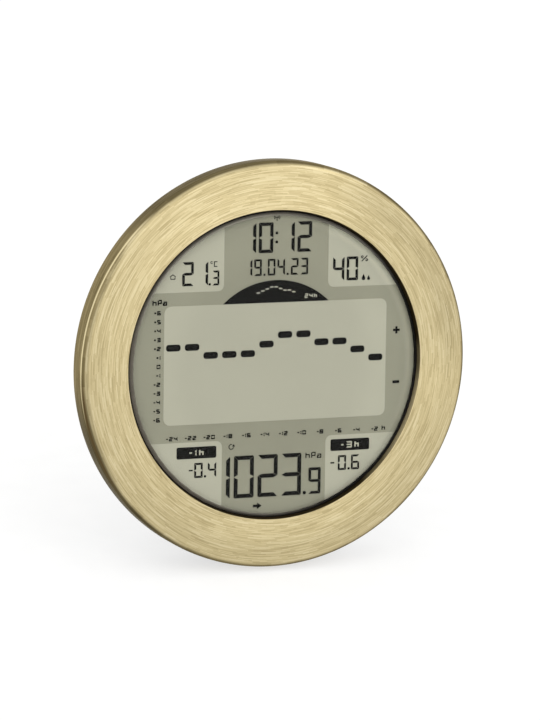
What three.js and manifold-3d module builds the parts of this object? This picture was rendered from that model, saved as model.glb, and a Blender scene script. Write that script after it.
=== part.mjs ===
// Round table clock: a liquid crystal face behind a clear lens, framed by a brushed metal ring,
// in a moulded case that leans back on a folding leg. All sizes are in millimetres.
// Pieces are drawn in the clock's own frame: x to the right, y from the front face towards the
// back, z up. The last section leans that frame back and stands it on z = 0.
import * as THREE from 'three';
import { mergeVertices } from 'three/addons/utils/BufferGeometryUtils.js';
import Module from 'manifold-3d';

const wasm = await Module();
wasm.setup();

// Driving sizes
const outerDiameter = 200;
const faceWidth = 24.2;
const leanAngle = THREE.MathUtils.degToRad(12);
const legOpenAngle = THREE.MathUtils.degToRad(22);

// Clearances
const seatGap = 0.3;
const filmGap = 0.1;
const solderGap = 0.2;
const cutOverrun = 1;
const moulding = 0.6;

// Facets
const ringSides = 56;
const roundSides = 20;
const keySides = 12;
const pinSides = 10;
const smallSides = 8;
const arcSteps = 3;

// Solids

// Closed solid of a geometry: shared vertices merged, empty triangles dropped, faces outwards.
function solidOf(source) {
  const bare = new THREE.BufferGeometry();
  bare.setAttribute('position', source.getAttribute('position'));
  bare.setIndex(source.getIndex());
  const merged = mergeVertices(bare);
  const corners = merged.getIndex().array;
  const vertProperties = new Float32Array(merged.getAttribute('position').array);
  const kept = [];
  for (let at = 0; at < corners.length; at += 3) {
    const [a, b, c] = corners.slice(at, at + 3);
    if (a !== b && b !== c && c !== a) {
      kept.push(a, b, c);
    }
  }
  if (signedVolume(vertProperties, kept) < 0) {
    kept.reverse();
  }
  const triVerts = Uint32Array.from(kept);
  return new wasm.Manifold(new wasm.Mesh({ numProp: 3, vertProperties, triVerts }));
}

function signedVolume(positions, corners) {
  const point = (corner) => new THREE.Vector3().fromArray(positions, corner * 3);
  let volume = 0;
  for (let at = 0; at < corners.length; at += 3) {
    const [a, b, c] = corners.slice(at, at + 3).map(point);
    volume += a.dot(b.cross(c)) / 6;
  }
  return volume;
}

function join(solids) {
  return solids.reduce((whole, solid) => whole.add(solid));
}

function cut(solid, cutters) {
  return cutters.reduce((rest, cutter) => rest.subtract(cutter), solid);
}

// Outline through corners [across, along]; a third value rounds the corner with that radius.
function outline(corners) {
  return corners.flatMap(([x, y, radius = 0], index) => {
    const tip = new THREE.Vector2(x, y);
    if (radius === 0) {
      return [tip];
    }
    const before = new THREE.Vector2(...corners.at(index - 1)).sub(tip).normalize();
    const after = new THREE.Vector2(...corners[(index + 1) % corners.length]).sub(tip).normalize();
    const halfAngle = Math.acos(before.dot(after)) / 2;
    const middle = before.clone().add(after).setLength(radius / Math.sin(halfAngle)).add(tip);
    const start = before.setLength(radius / Math.tan(halfAngle)).add(tip).sub(middle);
    const end = after.setLength(radius / Math.tan(halfAngle)).add(tip).sub(middle);
    const sweep = Math.atan2(start.cross(end), start.dot(end));
    return Array.from({ length: arcSteps + 1 }, (_, step) => (
      start.clone().rotateAround(new THREE.Vector2(), sweep * step / arcSteps).add(middle)
    ));
  });
}

// Solid turned about the depth axis from corners [radius, depth] that start and end on the axis.
function turned(corners, sides, x = 0, z = 0) {
  const geometry = new THREE.LatheGeometry(outline(corners), sides, Math.PI / sides);
  geometry.translate(x, 0, z);
  return solidOf(geometry);
}

// Ring turned about the depth axis from a closed profile of points.
function turnedRing(profile) {
  return solidOf(new THREE.LatheGeometry([...profile, profile[0]], ringSides, Math.PI / ringSides));
}

// Disc or rod along the depth axis.
function disc(radius, [front, back], sides, x = 0, z = 0) {
  const geometry = new THREE.CylinderGeometry(
    radius, radius, back - front, sides, 1, false, Math.PI / sides,
  );
  geometry.translate(x, (front + back) / 2, z);
  return solidOf(geometry);
}

// Rod along x, from one end to the other, with its axis at a depth and a height.
function rodAcross(radius, [left, right], depth, height, sides) {
  const geometry = new THREE.CylinderGeometry(radius, radius, right - left, sides);
  geometry.rotateZ(Math.PI / 2);
  geometry.translate((left + right) / 2, depth, height);
  return solidOf(geometry);
}

// Rod along z with its axis at x and a depth.
function rodUpright(radius, [bottom, top], x, depth, sides) {
  const geometry = new THREE.CylinderGeometry(radius, radius, top - bottom, sides);
  geometry.rotateX(Math.PI / 2);
  geometry.translate(x, depth, (bottom + top) / 2);
  return solidOf(geometry);
}

function block([left, right], [front, back], [bottom, top]) {
  const geometry = new THREE.BoxGeometry(right - left, back - front, top - bottom);
  geometry.translate((left + right) / 2, (front + back) / 2, (bottom + top) / 2);
  return solidOf(geometry);
}

// Flat shape drawn with corners [x, z], between two depths.
function plate(corners, [front, back]) {
  const shape = new THREE.Shape(outline(corners));
  const geometry = new THREE.ExtrudeGeometry(shape, { depth: back - front, bevelEnabled: false });
  geometry.rotateX(Math.PI / 2);
  geometry.translate(0, back, 0);
  return solidOf(geometry);
}

// Section drawn with corners [depth, height], between two places along x.
function bar(corners, [left, right]) {
  const shape = new THREE.Shape(outline(corners));
  const geometry = new THREE.ExtrudeGeometry(shape, { depth: right - left, bevelEnabled: false });
  const depthAxis = new THREE.Vector3(0, 1, 0);
  const heightAxis = new THREE.Vector3(0, 0, 1);
  const lengthAxis = new THREE.Vector3(1, 0, 0);
  geometry.applyMatrix4(new THREE.Matrix4().makeBasis(depthAxis, heightAxis, lengthAxis));
  geometry.translate(left, 0, 0);
  return solidOf(geometry);
}

// Round wire along a curve.
function wire(curve, radius, steps, sides) {
  const section = new THREE.Shape();
  section.absarc(0, 0, radius, 0, 2 * Math.PI);
  const flatSection = new THREE.Shape(section.getSpacedPoints(sides).slice(0, sides));
  const options = { steps, extrudePath: curve, bevelEnabled: false };
  return solidOf(new THREE.ExtrudeGeometry(flatSection, options));
}

function span(middle, half) {
  return [middle - half, middle + half];
}

function rectangle([left, right], [bottom, top], radius = 0) {
  return [[left, bottom, radius], [right, bottom, radius], [right, top, radius], [left, top, radius]];
}

function piece(name, solid, finish) {
  const { vertProperties, triVerts } = solid.getMesh();
  const geometry = new THREE.BufferGeometry();
  geometry.setAttribute('position', new THREE.BufferAttribute(vertProperties, 3));
  geometry.setIndex(new THREE.BufferAttribute(triVerts, 1));
  geometry.computeVertexNormals();
  const mesh = new THREE.Mesh(geometry, new THREE.MeshStandardMaterial(finish));
  mesh.name = name;
  return mesh;
}

// Finishes
const brushedGold = { color: 0xdccd9c, roughness: 0.36, metalness: 0.85 };
const blackPlastic = { color: 0x1d1c1b, roughness: 0.55, metalness: 0 };
const clearPanel = { color: 0xe8ece4, roughness: 0.05, metalness: 0, transparent: true, opacity: 0.25 };
const displayGreen = { color: 0xa9a98f, roughness: 0.35, metalness: 0 };
const displayGlass = { color: 0xb9bba6, roughness: 0.12, metalness: 0 };
const reflectorFoil = { color: 0xc9cabb, roughness: 0.3, metalness: 0.5 };
const whitePlastic = { color: 0xdedcd4, roughness: 0.5, metalness: 0 };
const darkRubber = { color: 0x262626, roughness: 0.85, metalness: 0 };
const boardGreen = { color: 0x2f6a44, roughness: 0.45, metalness: 0 };
const chipBlack = { color: 0x15161a, roughness: 0.4, metalness: 0 };
const steel = { color: 0xb4b6b8, roughness: 0.35, metalness: 0.9 };
const nickel = { color: 0xc9c6bc, roughness: 0.28, metalness: 0.9 };
const ferrite = { color: 0x3b3a3c, roughness: 0.6, metalness: 0.2 };
const copper = { color: 0xb06a3a, roughness: 0.4, metalness: 0.8 };
const cellJacket = { color: 0x2e4f7d, roughness: 0.35, metalness: 0.3 };
const redLeadColour = { color: 0xa8261f, roughness: 0.5, metalness: 0 };
const blackLeadColour = { color: 0x171717, roughness: 0.5, metalness: 0 };

// Metal ring: brushed flat face, rounded outer edge, deep side wall and a lip round the window
const bezelThickness = 1.6;
const bezelDepth = 11.6;
const bezelEdgeRadius = 3;
const bezelHemRadius = 0.4;
const windowEdgeBreak = 0.4;
const windowTaper = 0.7;
const bezelLipWidth = 2.3;
const bezelLipDepth = 2.6;
const bezelRadius = outerDiameter / 2;
const windowRadius = bezelRadius - faceWidth;
const throatRadius = windowRadius - windowTaper;
const bezelLipRadius = throatRadius + bezelLipWidth;
const bezelInnerRadius = bezelRadius - bezelThickness;
const bezelProfile = outline([
  [windowRadius + windowEdgeBreak, 0],
  [bezelRadius, 0, bezelEdgeRadius],
  [bezelRadius, bezelDepth, bezelHemRadius],
  [bezelInnerRadius, bezelDepth],
  [bezelInnerRadius, bezelThickness, bezelEdgeRadius - bezelThickness],
  [bezelLipRadius, bezelThickness],
  [bezelLipRadius, bezelLipDepth],
  [throatRadius, bezelLipDepth],
  [windowRadius, windowEdgeBreak],
]);

function bezelRing() {
  return piece('bezel_ring', turnedRing(bezelProfile), brushedGold);
}

// Lens behind the lip of the black trim
const trimWidth = 1.6;
const trimDepth = 0.6;
const trimEdge = 0.2;
const trimCrest = 0.5;
const trimLip = 0.8;
const trimShoulder = 2.4;
const lensLedge = 0.8;
const lensThickness = 2;
const lensSpare = 0.2;
const trimOuterRadius = throatRadius - seatGap;
const trimInnerRadius = trimOuterRadius - trimWidth;
const lensPocketRadius = trimInnerRadius + lensLedge;
const lensRadius = lensPocketRadius - seatGap;
const lensLipBack = trimDepth + trimLip;
const lensFront = lensLipBack + seatGap;
const lensBack = lensFront + lensThickness;
const displaySeat = lensBack + lensSpare;

function displayLens() {
  return piece('display_lens', disc(lensRadius, [lensFront, lensBack], ringSides), clearPanel);
}

// Display cell: film, two glasses, reflector film, and the frame that presses them forwards
const displayBorder = 5.1;
const glassClearance = 0.5;
const filmThickness = 0.2;
const polariserMargin = 1;
const glassThickness = 1.1;
const contactLedge = 9.1;
const backingThickness = 1.6;
const backingWindowShare = 0.19;
const backingPlaceShare = 0.485;
const zebraOffset = 0.8;
const zebraWidth = 3;
const pocketRadius = lensPocketRadius + displayBorder;
const displayRadius = pocketRadius - glassClearance;
const polariserFront = displaySeat + seatGap;
const frontGlassFront = polariserFront + filmThickness + filmGap;
const rearGlassFront = frontGlassFront + glassThickness + filmGap;
const reflectorFront = rearGlassFront + glassThickness + filmGap;
const backingFront = reflectorFront + filmThickness + seatGap;
const displayBack = backingFront + backingThickness;
const backingWindow = backingWindowShare * displayRadius;
const backingWindowPlace = backingPlaceShare * displayRadius;
const rearGlassHalf = displayRadius - contactLedge;
const zebraInner = rearGlassHalf + zebraOffset;
const zebraOuter = zebraInner + zebraWidth;
const zebraHalf = Math.sqrt(displayRadius ** 2 - zebraOuter ** 2) - glassClearance;
const zebraNotch = zebraHalf + glassClearance;

function layer(radius, front, thickness) {
  return disc(radius, [front, front + thickness], ringSides);
}

// Layer that ends short of the two contact ledges.
function shortLayer(front, thickness) {
  const room = block(
    span(0, displayRadius), [front - cutOverrun, front + thickness + cutOverrun], span(0, rearGlassHalf),
  );
  return layer(displayRadius, front, thickness).intersect(room);
}

function backingFrame() {
  const depths = [backingFront - cutOverrun, displayBack + cutOverrun];
  const windows = [[0, 0], [1, 0], [-1, 0], [0, 1], [0, -1]].map(([acrossShare, upShare]) => plate(
    rectangle(
      span(acrossShare * backingWindowPlace, backingWindow),
      span(upShare * backingWindowPlace, backingWindow),
    ),
    depths,
  ));
  const notches = [1, -1].map((side) => {
    const edges = [side * (rearGlassHalf + seatGap), side * (displayRadius + cutOverrun)];
    return block(span(0, zebraNotch), depths, [Math.min(...edges), Math.max(...edges)]);
  });
  return cut(layer(displayRadius, backingFront, backingThickness), [...windows, ...notches]);
}

// Rubber strip that carries the contacts from the front glass to the board.
function zebraStrip(name, side) {
  const depths = [frontGlassFront + glassThickness + solderGap, boardFront - solderGap];
  const edges = [side * zebraInner, side * zebraOuter];
  const strip = block(span(0, zebraHalf), depths, [Math.min(...edges), Math.max(...edges)]);
  return piece(name, strip, darkRubber);
}

function displayCell() {
  const polariser = layer(displayRadius - polariserMargin, polariserFront, filmThickness);
  return [
    piece('lcd_front_polariser', polariser, displayGreen),
    piece('lcd_front_glass', layer(displayRadius, frontGlassFront, glassThickness), displayGlass),
    piece('lcd_rear_glass', shortLayer(rearGlassFront, glassThickness), displayGlass),
    piece('lcd_reflector', shortLayer(reflectorFront, filmThickness), reflectorFoil),
    piece('lcd_backing_frame', backingFrame(), whitePlastic),
    zebraStrip('zebra_strip_top', 1),
    zebraStrip('zebra_strip_bottom', -1),
  ];
}

// Circuit board, its screws and the bosses that take them
const boardThickness = 1.6;
const boardRadiusStep = 0.6;
const boardWidthShare = 0.763;
const boardHeightShare = 0.954;
const boardScrewAngle = THREE.MathUtils.degToRad(15);
const boardScrewStep = 5.4;
const boardArmHalf = 5;
const boardArmEnd = 4;
const boardScrewRadius = 1.1;
const boardScrewHead = 2.4;
const boardScrewLength = 5.2;
const screwHeadHeight = 1.6;
const screwClearance = 0.4;
const pocketWall = 1.8;
const pocketRim = pocketRadius + pocketWall;
const boardHalfWidth = boardWidthShare * displayRadius;
const boardHalfHeight = boardHeightShare * displayRadius;
const boardFront = displayBack + seatGap;
const boardBack = boardFront + boardThickness;
const boardScrewCircle = pocketRim + boardScrewStep;

// Four places on a circle, one in each quarter, at an angle from the horizontal.
function quarterPlaces(radius, angle) {
  const [x, z] = [radius * Math.cos(angle), radius * Math.sin(angle)];
  return [[-x, z], [x, z], [-x, -z], [x, -z]];
}
const boardScrewPlaces = quarterPlaces(boardScrewCircle, boardScrewAngle);

function mainBoard() {
  const depths = [boardFront, boardBack];
  const body = disc(displayRadius - boardRadiusStep, depths, ringSides)
    .intersect(block(span(0, boardHalfWidth), depths, span(0, boardHalfHeight)));
  const [[, armHeight]] = boardScrewPlaces;
  const armReach = boardScrewCircle * Math.cos(boardScrewAngle) + boardArmEnd;
  const arms = [armHeight, -armHeight].map((height) => (
    plate(rectangle(span(0, armReach), span(height, boardArmHalf), boardArmEnd / 2), depths)
  ));
  const holes = boardScrewPlaces.map(([x, z]) => disc(
    boardScrewRadius + screwClearance,
    [boardFront - cutOverrun, boardBack + cutOverrun],
    pinSides,
    x,
    z,
  ));
  return piece('main_pcb', cut(join([body, ...arms]), holes), boardGreen);
}

// Pan head screw with a cross recess; its head faces the back of the clock.
function crossScrew(name, headRadius, shankRadius, seat, length) {
  const top = seat + screwHeadHeight;
  const body = turned([
    [0, seat - length],
    [shankRadius / 2, seat - length],
    [shankRadius, seat - length + shankRadius],
    [shankRadius, seat],
    [headRadius, seat],
    [headRadius, seat + screwHeadHeight / 2],
    [headRadius * 3 / 4, top],
    [0, top],
  ], pinSides);
  const recessDepths = [top - screwHeadHeight / 2, top + cutOverrun];
  const long = span(0, headRadius * 2 / 3);
  const narrow = span(0, headRadius / 6);
  const recess = block(long, recessDepths, narrow).add(block(narrow, recessDepths, long));
  return piece(name, body.subtract(recess), steel);
}

function boardScrews() {
  return boardScrewPlaces.map(([x, z], index) => {
    const name = `board_screw_${index + 1}`;
    const seat = boardBack + seatGap;
    const screw = crossScrew(name, boardScrewHead, boardScrewRadius, seat, boardScrewLength);
    screw.position.set(x, 0, z);
    return screw;
  });
}

// Front housing: carries the trim, the display pocket, the board bosses and the case bosses
const housingPlate = 2.1;
const housingWall = 2;
const housingChamfer = 1.7;
const boardBossWall = 1.4;
const caseBossWall = 2.3;
const caseScrewStep = 4.6;
const caseScrewRadius = 1.2;
const caseScrewHead = 2.8;
const caseScrewLength = 14;
const pilotFloor = 0.6;
const casePilotDepth = 15;
const housingFront = bezelThickness + seatGap;
const housingPlateBack = housingFront + housingPlate;
const housingRadius = bezelInnerRadius - seatGap;
const housingDepth = displayBack;
const boardPilotRadius = boardScrewRadius + seatGap;
const casePilotRadius = caseScrewRadius + seatGap;
const caseBossRadius = casePilotRadius + caseBossWall;
const caseScrewCircle = pocketRim + caseScrewStep;
const caseScrewPlaces = quarterPlaces(caseScrewCircle, Math.PI / 4);

function frontHousing() {
  const lipSeat = bezelLipDepth + seatGap;
  const lipSeatRadius = bezelLipRadius + seatGap;
  const shell = turnedRing(outline([
    [trimInnerRadius, trimDepth + trimEdge],
    [trimInnerRadius + trimEdge, trimDepth],
    [trimInnerRadius + trimCrest, trimDepth],
    [trimOuterRadius, trimShoulder],
    [trimOuterRadius, lipSeat],
    [lipSeatRadius, lipSeat],
    [lipSeatRadius, housingFront],
    [housingRadius - housingChamfer, housingFront],
    [housingRadius, housingFront + housingChamfer],
    [housingRadius, housingDepth],
    [housingRadius - housingWall, housingDepth],
    [housingRadius - housingWall, housingPlateBack],
    [pocketRim, housingPlateBack],
    [pocketRim, housingDepth],
    [pocketRadius, housingDepth],
    [pocketRadius, displaySeat],
    [lensPocketRadius, displaySeat],
    [lensPocketRadius, lensLipBack],
    [trimInnerRadius, lensLipBack],
  ]));
  const boardBosses = boardScrewPlaces.map(([x, z]) => disc(
    boardPilotRadius + boardBossWall, [housingPlateBack - moulding, housingDepth], pinSides, x, z,
  ));
  const boardPilots = boardScrewPlaces.map(([x, z]) => disc(
    boardPilotRadius, [housingPlateBack + pilotFloor, housingDepth + cutOverrun], pinSides, x, z,
  ));
  const caseBosses = caseScrewPlaces.map(([x, z]) => disc(
    caseBossRadius, [housingPlateBack - moulding, caseBossEnd], pinSides, x, z,
  ));
  const casePilots = caseScrewPlaces.map(([x, z]) => disc(
    casePilotRadius, [caseBossEnd - casePilotDepth, caseBossEnd + cutOverrun], pinSides, x, z,
  ));
  const moulded = join([shell, ...boardBosses, ...caseBosses]);
  return piece('front_housing', cut(moulded, [...boardPilots, ...casePilots]), blackPlastic);
}

// Battery bay: two cells side by side, which set the depth of the case
const cellRadius = 7.1;
const cellLength = 50.5;
const cellNubRadius = 2.75;
const cellNubLength = 1;
const cellEdge = 0.6;
const cellSpacing = 1.3;
const cellSideGap = 0.75;
const springRoom = 7;
const contactThickness = 0.4;
const contactHalf = 5;
const bayBoardGap = 0.5;
const bayWall = 1.5;
const bayHeightShare = 0.26;
const saddleThickness = 1.6;
const saddleHeight = 4.5;
const saddleWeb = 0.4;
const saddleSpacing = 16;
const leadHoleRadius = 1;
const doorThickness = 1.9;
const bayMiddle = bayHeightShare * bezelRadius;
const bayFront = boardBack + bayBoardGap;
const bayFloor = bayFront + bayWall;
const cellDepth = bayFloor + saddleWeb + seatGap + cellRadius;
const doorFront = cellDepth + cellRadius + seatGap;
const caseDepth = doorFront + doorThickness;
const coverInside = doorFront - seatGap;
const upperCell = bayMiddle + cellRadius + cellSpacing / 2;
const lowerCell = bayMiddle - cellRadius - cellSpacing / 2;
const bayTop = upperCell + cellRadius + cellSideGap;
const bayBottom = lowerCell - cellRadius - cellSideGap;
const contactRoom = contactThickness + seatGap;
const bayHalf = (cellLength + springRoom + seatGap) / 2 + contactRoom;
const contactFace = bayHalf - contactRoom;

// Cell with its positive nub towards the left.
function cell(name, height, turn) {
  const left = seatGap - contactFace;
  const geometry = new THREE.LatheGeometry(outline([
    [0, 0],
    [cellNubRadius, 0],
    [cellNubRadius, cellNubLength],
    [cellRadius - cellEdge, cellNubLength],
    [cellRadius, cellNubLength + cellEdge],
    [cellRadius, cellLength - cellEdge],
    [cellRadius - cellEdge, cellLength],
    [0, cellLength],
  ]), roundSides);
  geometry.rotateZ(-Math.PI / 2);
  geometry.translate(left, 0, 0);
  const mesh = piece(name, solidOf(geometry), cellJacket);
  mesh.rotation.y = turn;
  mesh.position.set(0, cellDepth, height);
  return mesh;
}

// Conical contact spring: one wire that leaves its plate on the widest curl.
const springWire = 0.45;
const springWide = 4.6;
const springNarrow = 2.6;
const springTurns = 4;
const stepsPerTurn = 8;
const springSides = 5;
const springRise = springRoom - seatGap - springWire;

class SpringCurve extends THREE.Curve {
  getPoint(share, target = new THREE.Vector3()) {
    const radius = THREE.MathUtils.lerp(springWide, springNarrow, share);
    const angle = 2 * Math.PI * springTurns * share;
    return target.set(springRise * share, radius * Math.sin(angle), radius * Math.cos(angle));
  }
}

// Least gap between neighbouring curls, measured on points along the wire.
function leastSpringGap() {
  const points = new SpringCurve().getPoints(springTurns * stepsPerTurn);
  const gaps = points.flatMap((point, at) => (
    points.slice(at + stepsPerTurn - 1).map((other) => point.distanceTo(other) - 2 * springWire)
  ));
  return Math.min(...gaps);
}

// Spring seated on the face of a contact, pointing towards positive x.
function contactSpring() {
  return wire(new SpringCurve(), springWire, springTurns * stepsPerTurn, springSides);
}

function contactPlate(heights) {
  return block([-contactThickness, 0], span(0, contactHalf), heights);
}

// Contact drawn on the left wall of the bay at the height of one cell, turned for the right wall.
function contact(name, solid, height, turn) {
  const mesh = piece(name, solid, nickel);
  mesh.rotation.z = turn;
  mesh.position.set(-Math.cos(turn) * contactFace, cellDepth, height);
  return mesh;
}

function contacts() {
  const single = contactPlate(span(0, contactHalf));
  const pair = contactPlate([lowerCell - upperCell - contactHalf, contactHalf]);
  return [
    contact('positive_contact', single, upperCell, 0),
    contact('negative_contact', single.add(contactSpring()), lowerCell, 0),
    contact('bridge_contact', pair.add(contactSpring()), upperCell, Math.PI),
  ];
}

// Leads from the two left contacts through the wall of the bay to the board
const leadRadius = 0.6;
const leadSteps = 14;
const leadSides = 6;
const redLeadReach = 14.4;
const redLeadRise = 4.25;
const blackLeadReach = 15.4;
const blackLeadDrop = 6.25;
const leadShares = [
  [0, 0, 0], [0.12, 0, 0], [0.33, 0.06, 0.1], [0.6, 0.26, 0.44],
  [0.85, 0.56, 0.79], [0.97, 0.79, 0.97], [1, 1, 1],
];

// Lead from a hole in the wall of the bay to a place on the board, bent by its shares of the way.
function lead(name, height, [reach, climb], finish) {
  const run = new THREE.Vector3(-reach, boardBack + seatGap - cellDepth, climb);
  const start = new THREE.Vector3(-bayHalf, cellDepth, height);
  const points = leadShares.map((shares) => new THREE.Vector3(...shares).multiply(run).add(start));
  const curve = new THREE.CatmullRomCurve3(points);
  return piece(name, wire(curve, leadRadius, leadSteps, leadSides), finish);
}

// Battery door: a plate that swings on two hooks at its lower edge, with a spring latch on top
const doorSideGap = 1.9;
const doorTopGap = 2.4;
const doorBottomGap = 2.2;
const doorHookWidth = 8;
const doorHookPlace = 18;
const doorHookThickness = 1.3;
const doorHookReach = 3.2;
const doorHookRise = 0.8;
const doorHookClearance = 0.5;
const latchHalf = 7;
const latchSlot = 1;
const latchLength = 9;
const latchNose = 1.5;
const latchNoseWidth = 1.6;
const gripGrooves = 3;
const gripPitch = 2;
const gripDepth = 0.4;
const gripHalf = 4.5;
const doorOpeningHalf = bayHalf + doorSideGap;
const doorOpeningTop = bayTop + doorTopGap;
const doorOpeningBottom = bayBottom - doorBottomGap;
const doorBead = doorThickness / 2;
const doorHalf = doorOpeningHalf - seatGap;
const doorTop = doorOpeningTop - seatGap;
const doorBottom = doorOpeningBottom + seatGap;
const doorHingeDepth = caseDepth - doorBead;
const doorHingeHeight = doorBottom + doorBead;
const hookFront = doorFront - doorHookThickness - doorHookRise;
const hookTip = doorHingeHeight - doorHookReach;
const hookSwing = Math.hypot(doorHingeDepth - hookFront, doorHookReach);

function batteryDoor() {
  const leaf = bar([
    [doorFront, doorHingeHeight],
    [doorFront, doorTop],
    [caseDepth, doorTop],
    [caseDepth, doorHingeHeight],
  ], span(0, doorHalf));
  const bead = rodAcross(doorBead, span(0, doorHalf), doorHingeDepth, doorHingeHeight, pinSides);
  const hooks = [-doorHookPlace, doorHookPlace].map((place) => bar([
    [doorHingeDepth, doorHingeHeight - doorBead / 2],
    [hookFront + doorHookThickness, doorHingeHeight - doorBead / 2],
    [hookFront + doorHookThickness, hookTip],
    [hookFront, hookTip],
    [hookFront, doorHingeHeight + doorBead],
    [doorHingeDepth, doorHingeHeight + doorBead],
  ], span(place, doorHookWidth / 2)));
  const nose = block(
    span(0, latchHalf), [doorFront - latchNose, doorFront + moulding], [doorTop - latchNoseWidth, doorTop],
  );
  const slots = [-1, 1].map((side) => block(
    span(side * (latchHalf + latchSlot / 2), latchSlot / 2),
    [doorFront - latchNose - cutOverrun, caseDepth + cutOverrun],
    [doorTop - latchLength, doorTop + cutOverrun],
  ));
  const grooves = Array.from({ length: gripGrooves }, (_, index) => block(
    span(0, gripHalf),
    [caseDepth - gripDepth, caseDepth + cutOverrun],
    span(doorTop - latchNoseWidth - (index + 1) * gripPitch, gripPitch / 4),
  ));
  const moulded = join([leaf, bead, ...hooks, nose]);
  return piece('battery_door', cut(moulded, [...slots, ...grooves]), blackPlastic);
}

// Folding leg: its heel rests on the floor of its recess when the leg is open
const legLength = 68;
const legThickness = 4.6;
const legTopHalf = 19;
const legFootHalf = 25;
const legFootRadius = 3;
const legHeel = 6;
const legHeelRadius = 1;
const legInset = 0.2;
const legSkin = 1.8;
const legRim = 2.6;
const legCrossRibs = 2;
const legRibThickness = 1.6;
const legPocketTop = 8;
const legPocketFoot = 9;
const hingePinRadius = 1.2;
const hingePinEnd = 4.8;
const soleThickness = 1.6;
const soleHalf = 21;
const legHalf = legThickness / 2;
const legTilt = legOpenAngle - leanAngle;
const hingeDepth = caseDepth - legInset - legHalf;
const hingeBore = hingePinRadius + seatGap;
const hingePinHalf = legTopHalf + hingePinEnd;
const soleDrop = legLength * Math.cos(legTilt);
const legEndDrop = soleDrop - soleThickness - seatGap;
const facetShare = Math.cos(Math.PI / ringSides);
const ringDrop = Math.max(...bezelProfile.map(({ x: radius, y: depth }) => (
  depth * Math.sin(leanAngle) + radius * facetShare * Math.cos(leanAngle)
)));
const hingeHeight = (soleDrop + hingeDepth * Math.sin(leanAngle) - ringDrop) / Math.cos(leanAngle);

// Height on the leg of a level line that lies a given drop below the hinge when the leg stands.
function levelAt(drop, depth) {
  return -(drop + Math.sin(legTilt) * depth) / Math.cos(legTilt);
}

function legHalfWidth(height) {
  return legTopHalf + (legFootHalf - legTopHalf) * Math.min(Math.max(-height / legLength, 0), 1);
}

function standLeg() {
  const end = levelAt(legEndDrop, legHalf);
  const plan = plate([
    [-legTopHalf, legHeel], [-legTopHalf, 0], [-legHalfWidth(end), end, legFootRadius],
    [legHalfWidth(end), end, legFootRadius], [legTopHalf, 0], [legTopHalf, legHeel],
  ], span(0, legHalf));
  const side = bar([
    [legHalf, legHeel, legHeelRadius],
    [legHalf, levelAt(legEndDrop, legHalf)],
    [-legHalf, levelAt(legEndDrop, -legHalf)],
    [-legHalf, legHeel],
  ], span(0, legFootHalf + cutOverrun));
  const [pocketTop, pocketEnd] = [-legPocketTop, end + legPocketFoot];
  const pocketDepths = [-legHalf - cutOverrun, legHalf - legSkin];
  const pocket = plate([
    [legRim - legHalfWidth(pocketTop), pocketTop],
    [legRim - legHalfWidth(pocketEnd), pocketEnd],
    [legHalfWidth(pocketEnd) - legRim, pocketEnd],
    [legHalfWidth(pocketTop) - legRim, pocketTop],
  ], pocketDepths);
  const crossRibs = Array.from({ length: legCrossRibs }, (_, index) => {
    const middle = THREE.MathUtils.lerp(pocketTop, pocketEnd, (index + 1) / (legCrossRibs + 1));
    return block(span(0, legFootHalf), pocketDepths, span(middle, legRibThickness / 2));
  });
  const spine = block(span(0, legRibThickness / 2), pocketDepths, [pocketEnd, pocketTop]);
  const bore = rodAcross(hingeBore, span(0, legTopHalf + cutOverrun), 0, 0, pinSides);
  const hollow = cut(pocket, [...crossRibs, spine]);
  return piece('stand_leg', cut(plan.intersect(side), [hollow, bore]), blackPlastic);
}

function hingePin() {
  const pin = rodAcross(hingePinRadius, span(0, hingePinHalf), 0, 0, pinSides);
  return piece('stand_hinge_pin', pin, steel);
}

// Rubber strip under the leg, flat on the table when the leg is open.
function footPad() {
  const top = legEndDrop + seatGap;
  const strip = bar([
    [legHalf, levelAt(top, legHalf)],
    [legHalf, levelAt(soleDrop, legHalf)],
    [-legHalf, levelAt(soleDrop, -legHalf)],
    [-legHalf, levelAt(top, -legHalf)],
  ], span(0, soleHalf));
  return piece('stand_foot_pad', strip, darkRubber);
}

// Board parts that stand on the back of the board, placed by shares of its half width and height
const chipHeight = 2;
const controllerRadius = 10;
const driverHalf = 6;
const crystalRadius = 1.5;
const crystalHalf = 4;
const capacitorRadius = 3.2;
const capacitorHeight = 7;
const sensorHalf = 2.5;
const sensorHeight = 1.6;
const sensorPort = 0.8;
const receiverHalfWidth = 7;
const receiverHalfHeight = 7.5;
const receiverThickness = 1;
const controllerShares = [0, -0.4];
const driverShares = [-0.33, -0.69];
const crystalShares = [0.33, -0.53];
const capacitorShares = [0.67, -0.27];
const pressureShares = [0.83, -0.5];
const humidityShares = [0.8, -0.64];
const receiverShares = [-0.75, -0.5];
const partSeat = boardBack + solderGap;

function onBoard(mesh, [acrossShare, upShare]) {
  mesh.position.set(acrossShare * boardHalfWidth, 0, upShare * boardHalfHeight);
  return mesh;
}

function sensor(name, finish, shares) {
  const body = block(span(0, sensorHalf), [partSeat, partSeat + sensorHeight], span(0, sensorHalf));
  const sensorTop = partSeat + sensorHeight;
  const port = disc(sensorPort, [sensorTop - sensorHeight / 2, sensorTop + cutOverrun], smallSides);
  return onBoard(piece(name, body.subtract(port), finish), shares);
}

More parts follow.
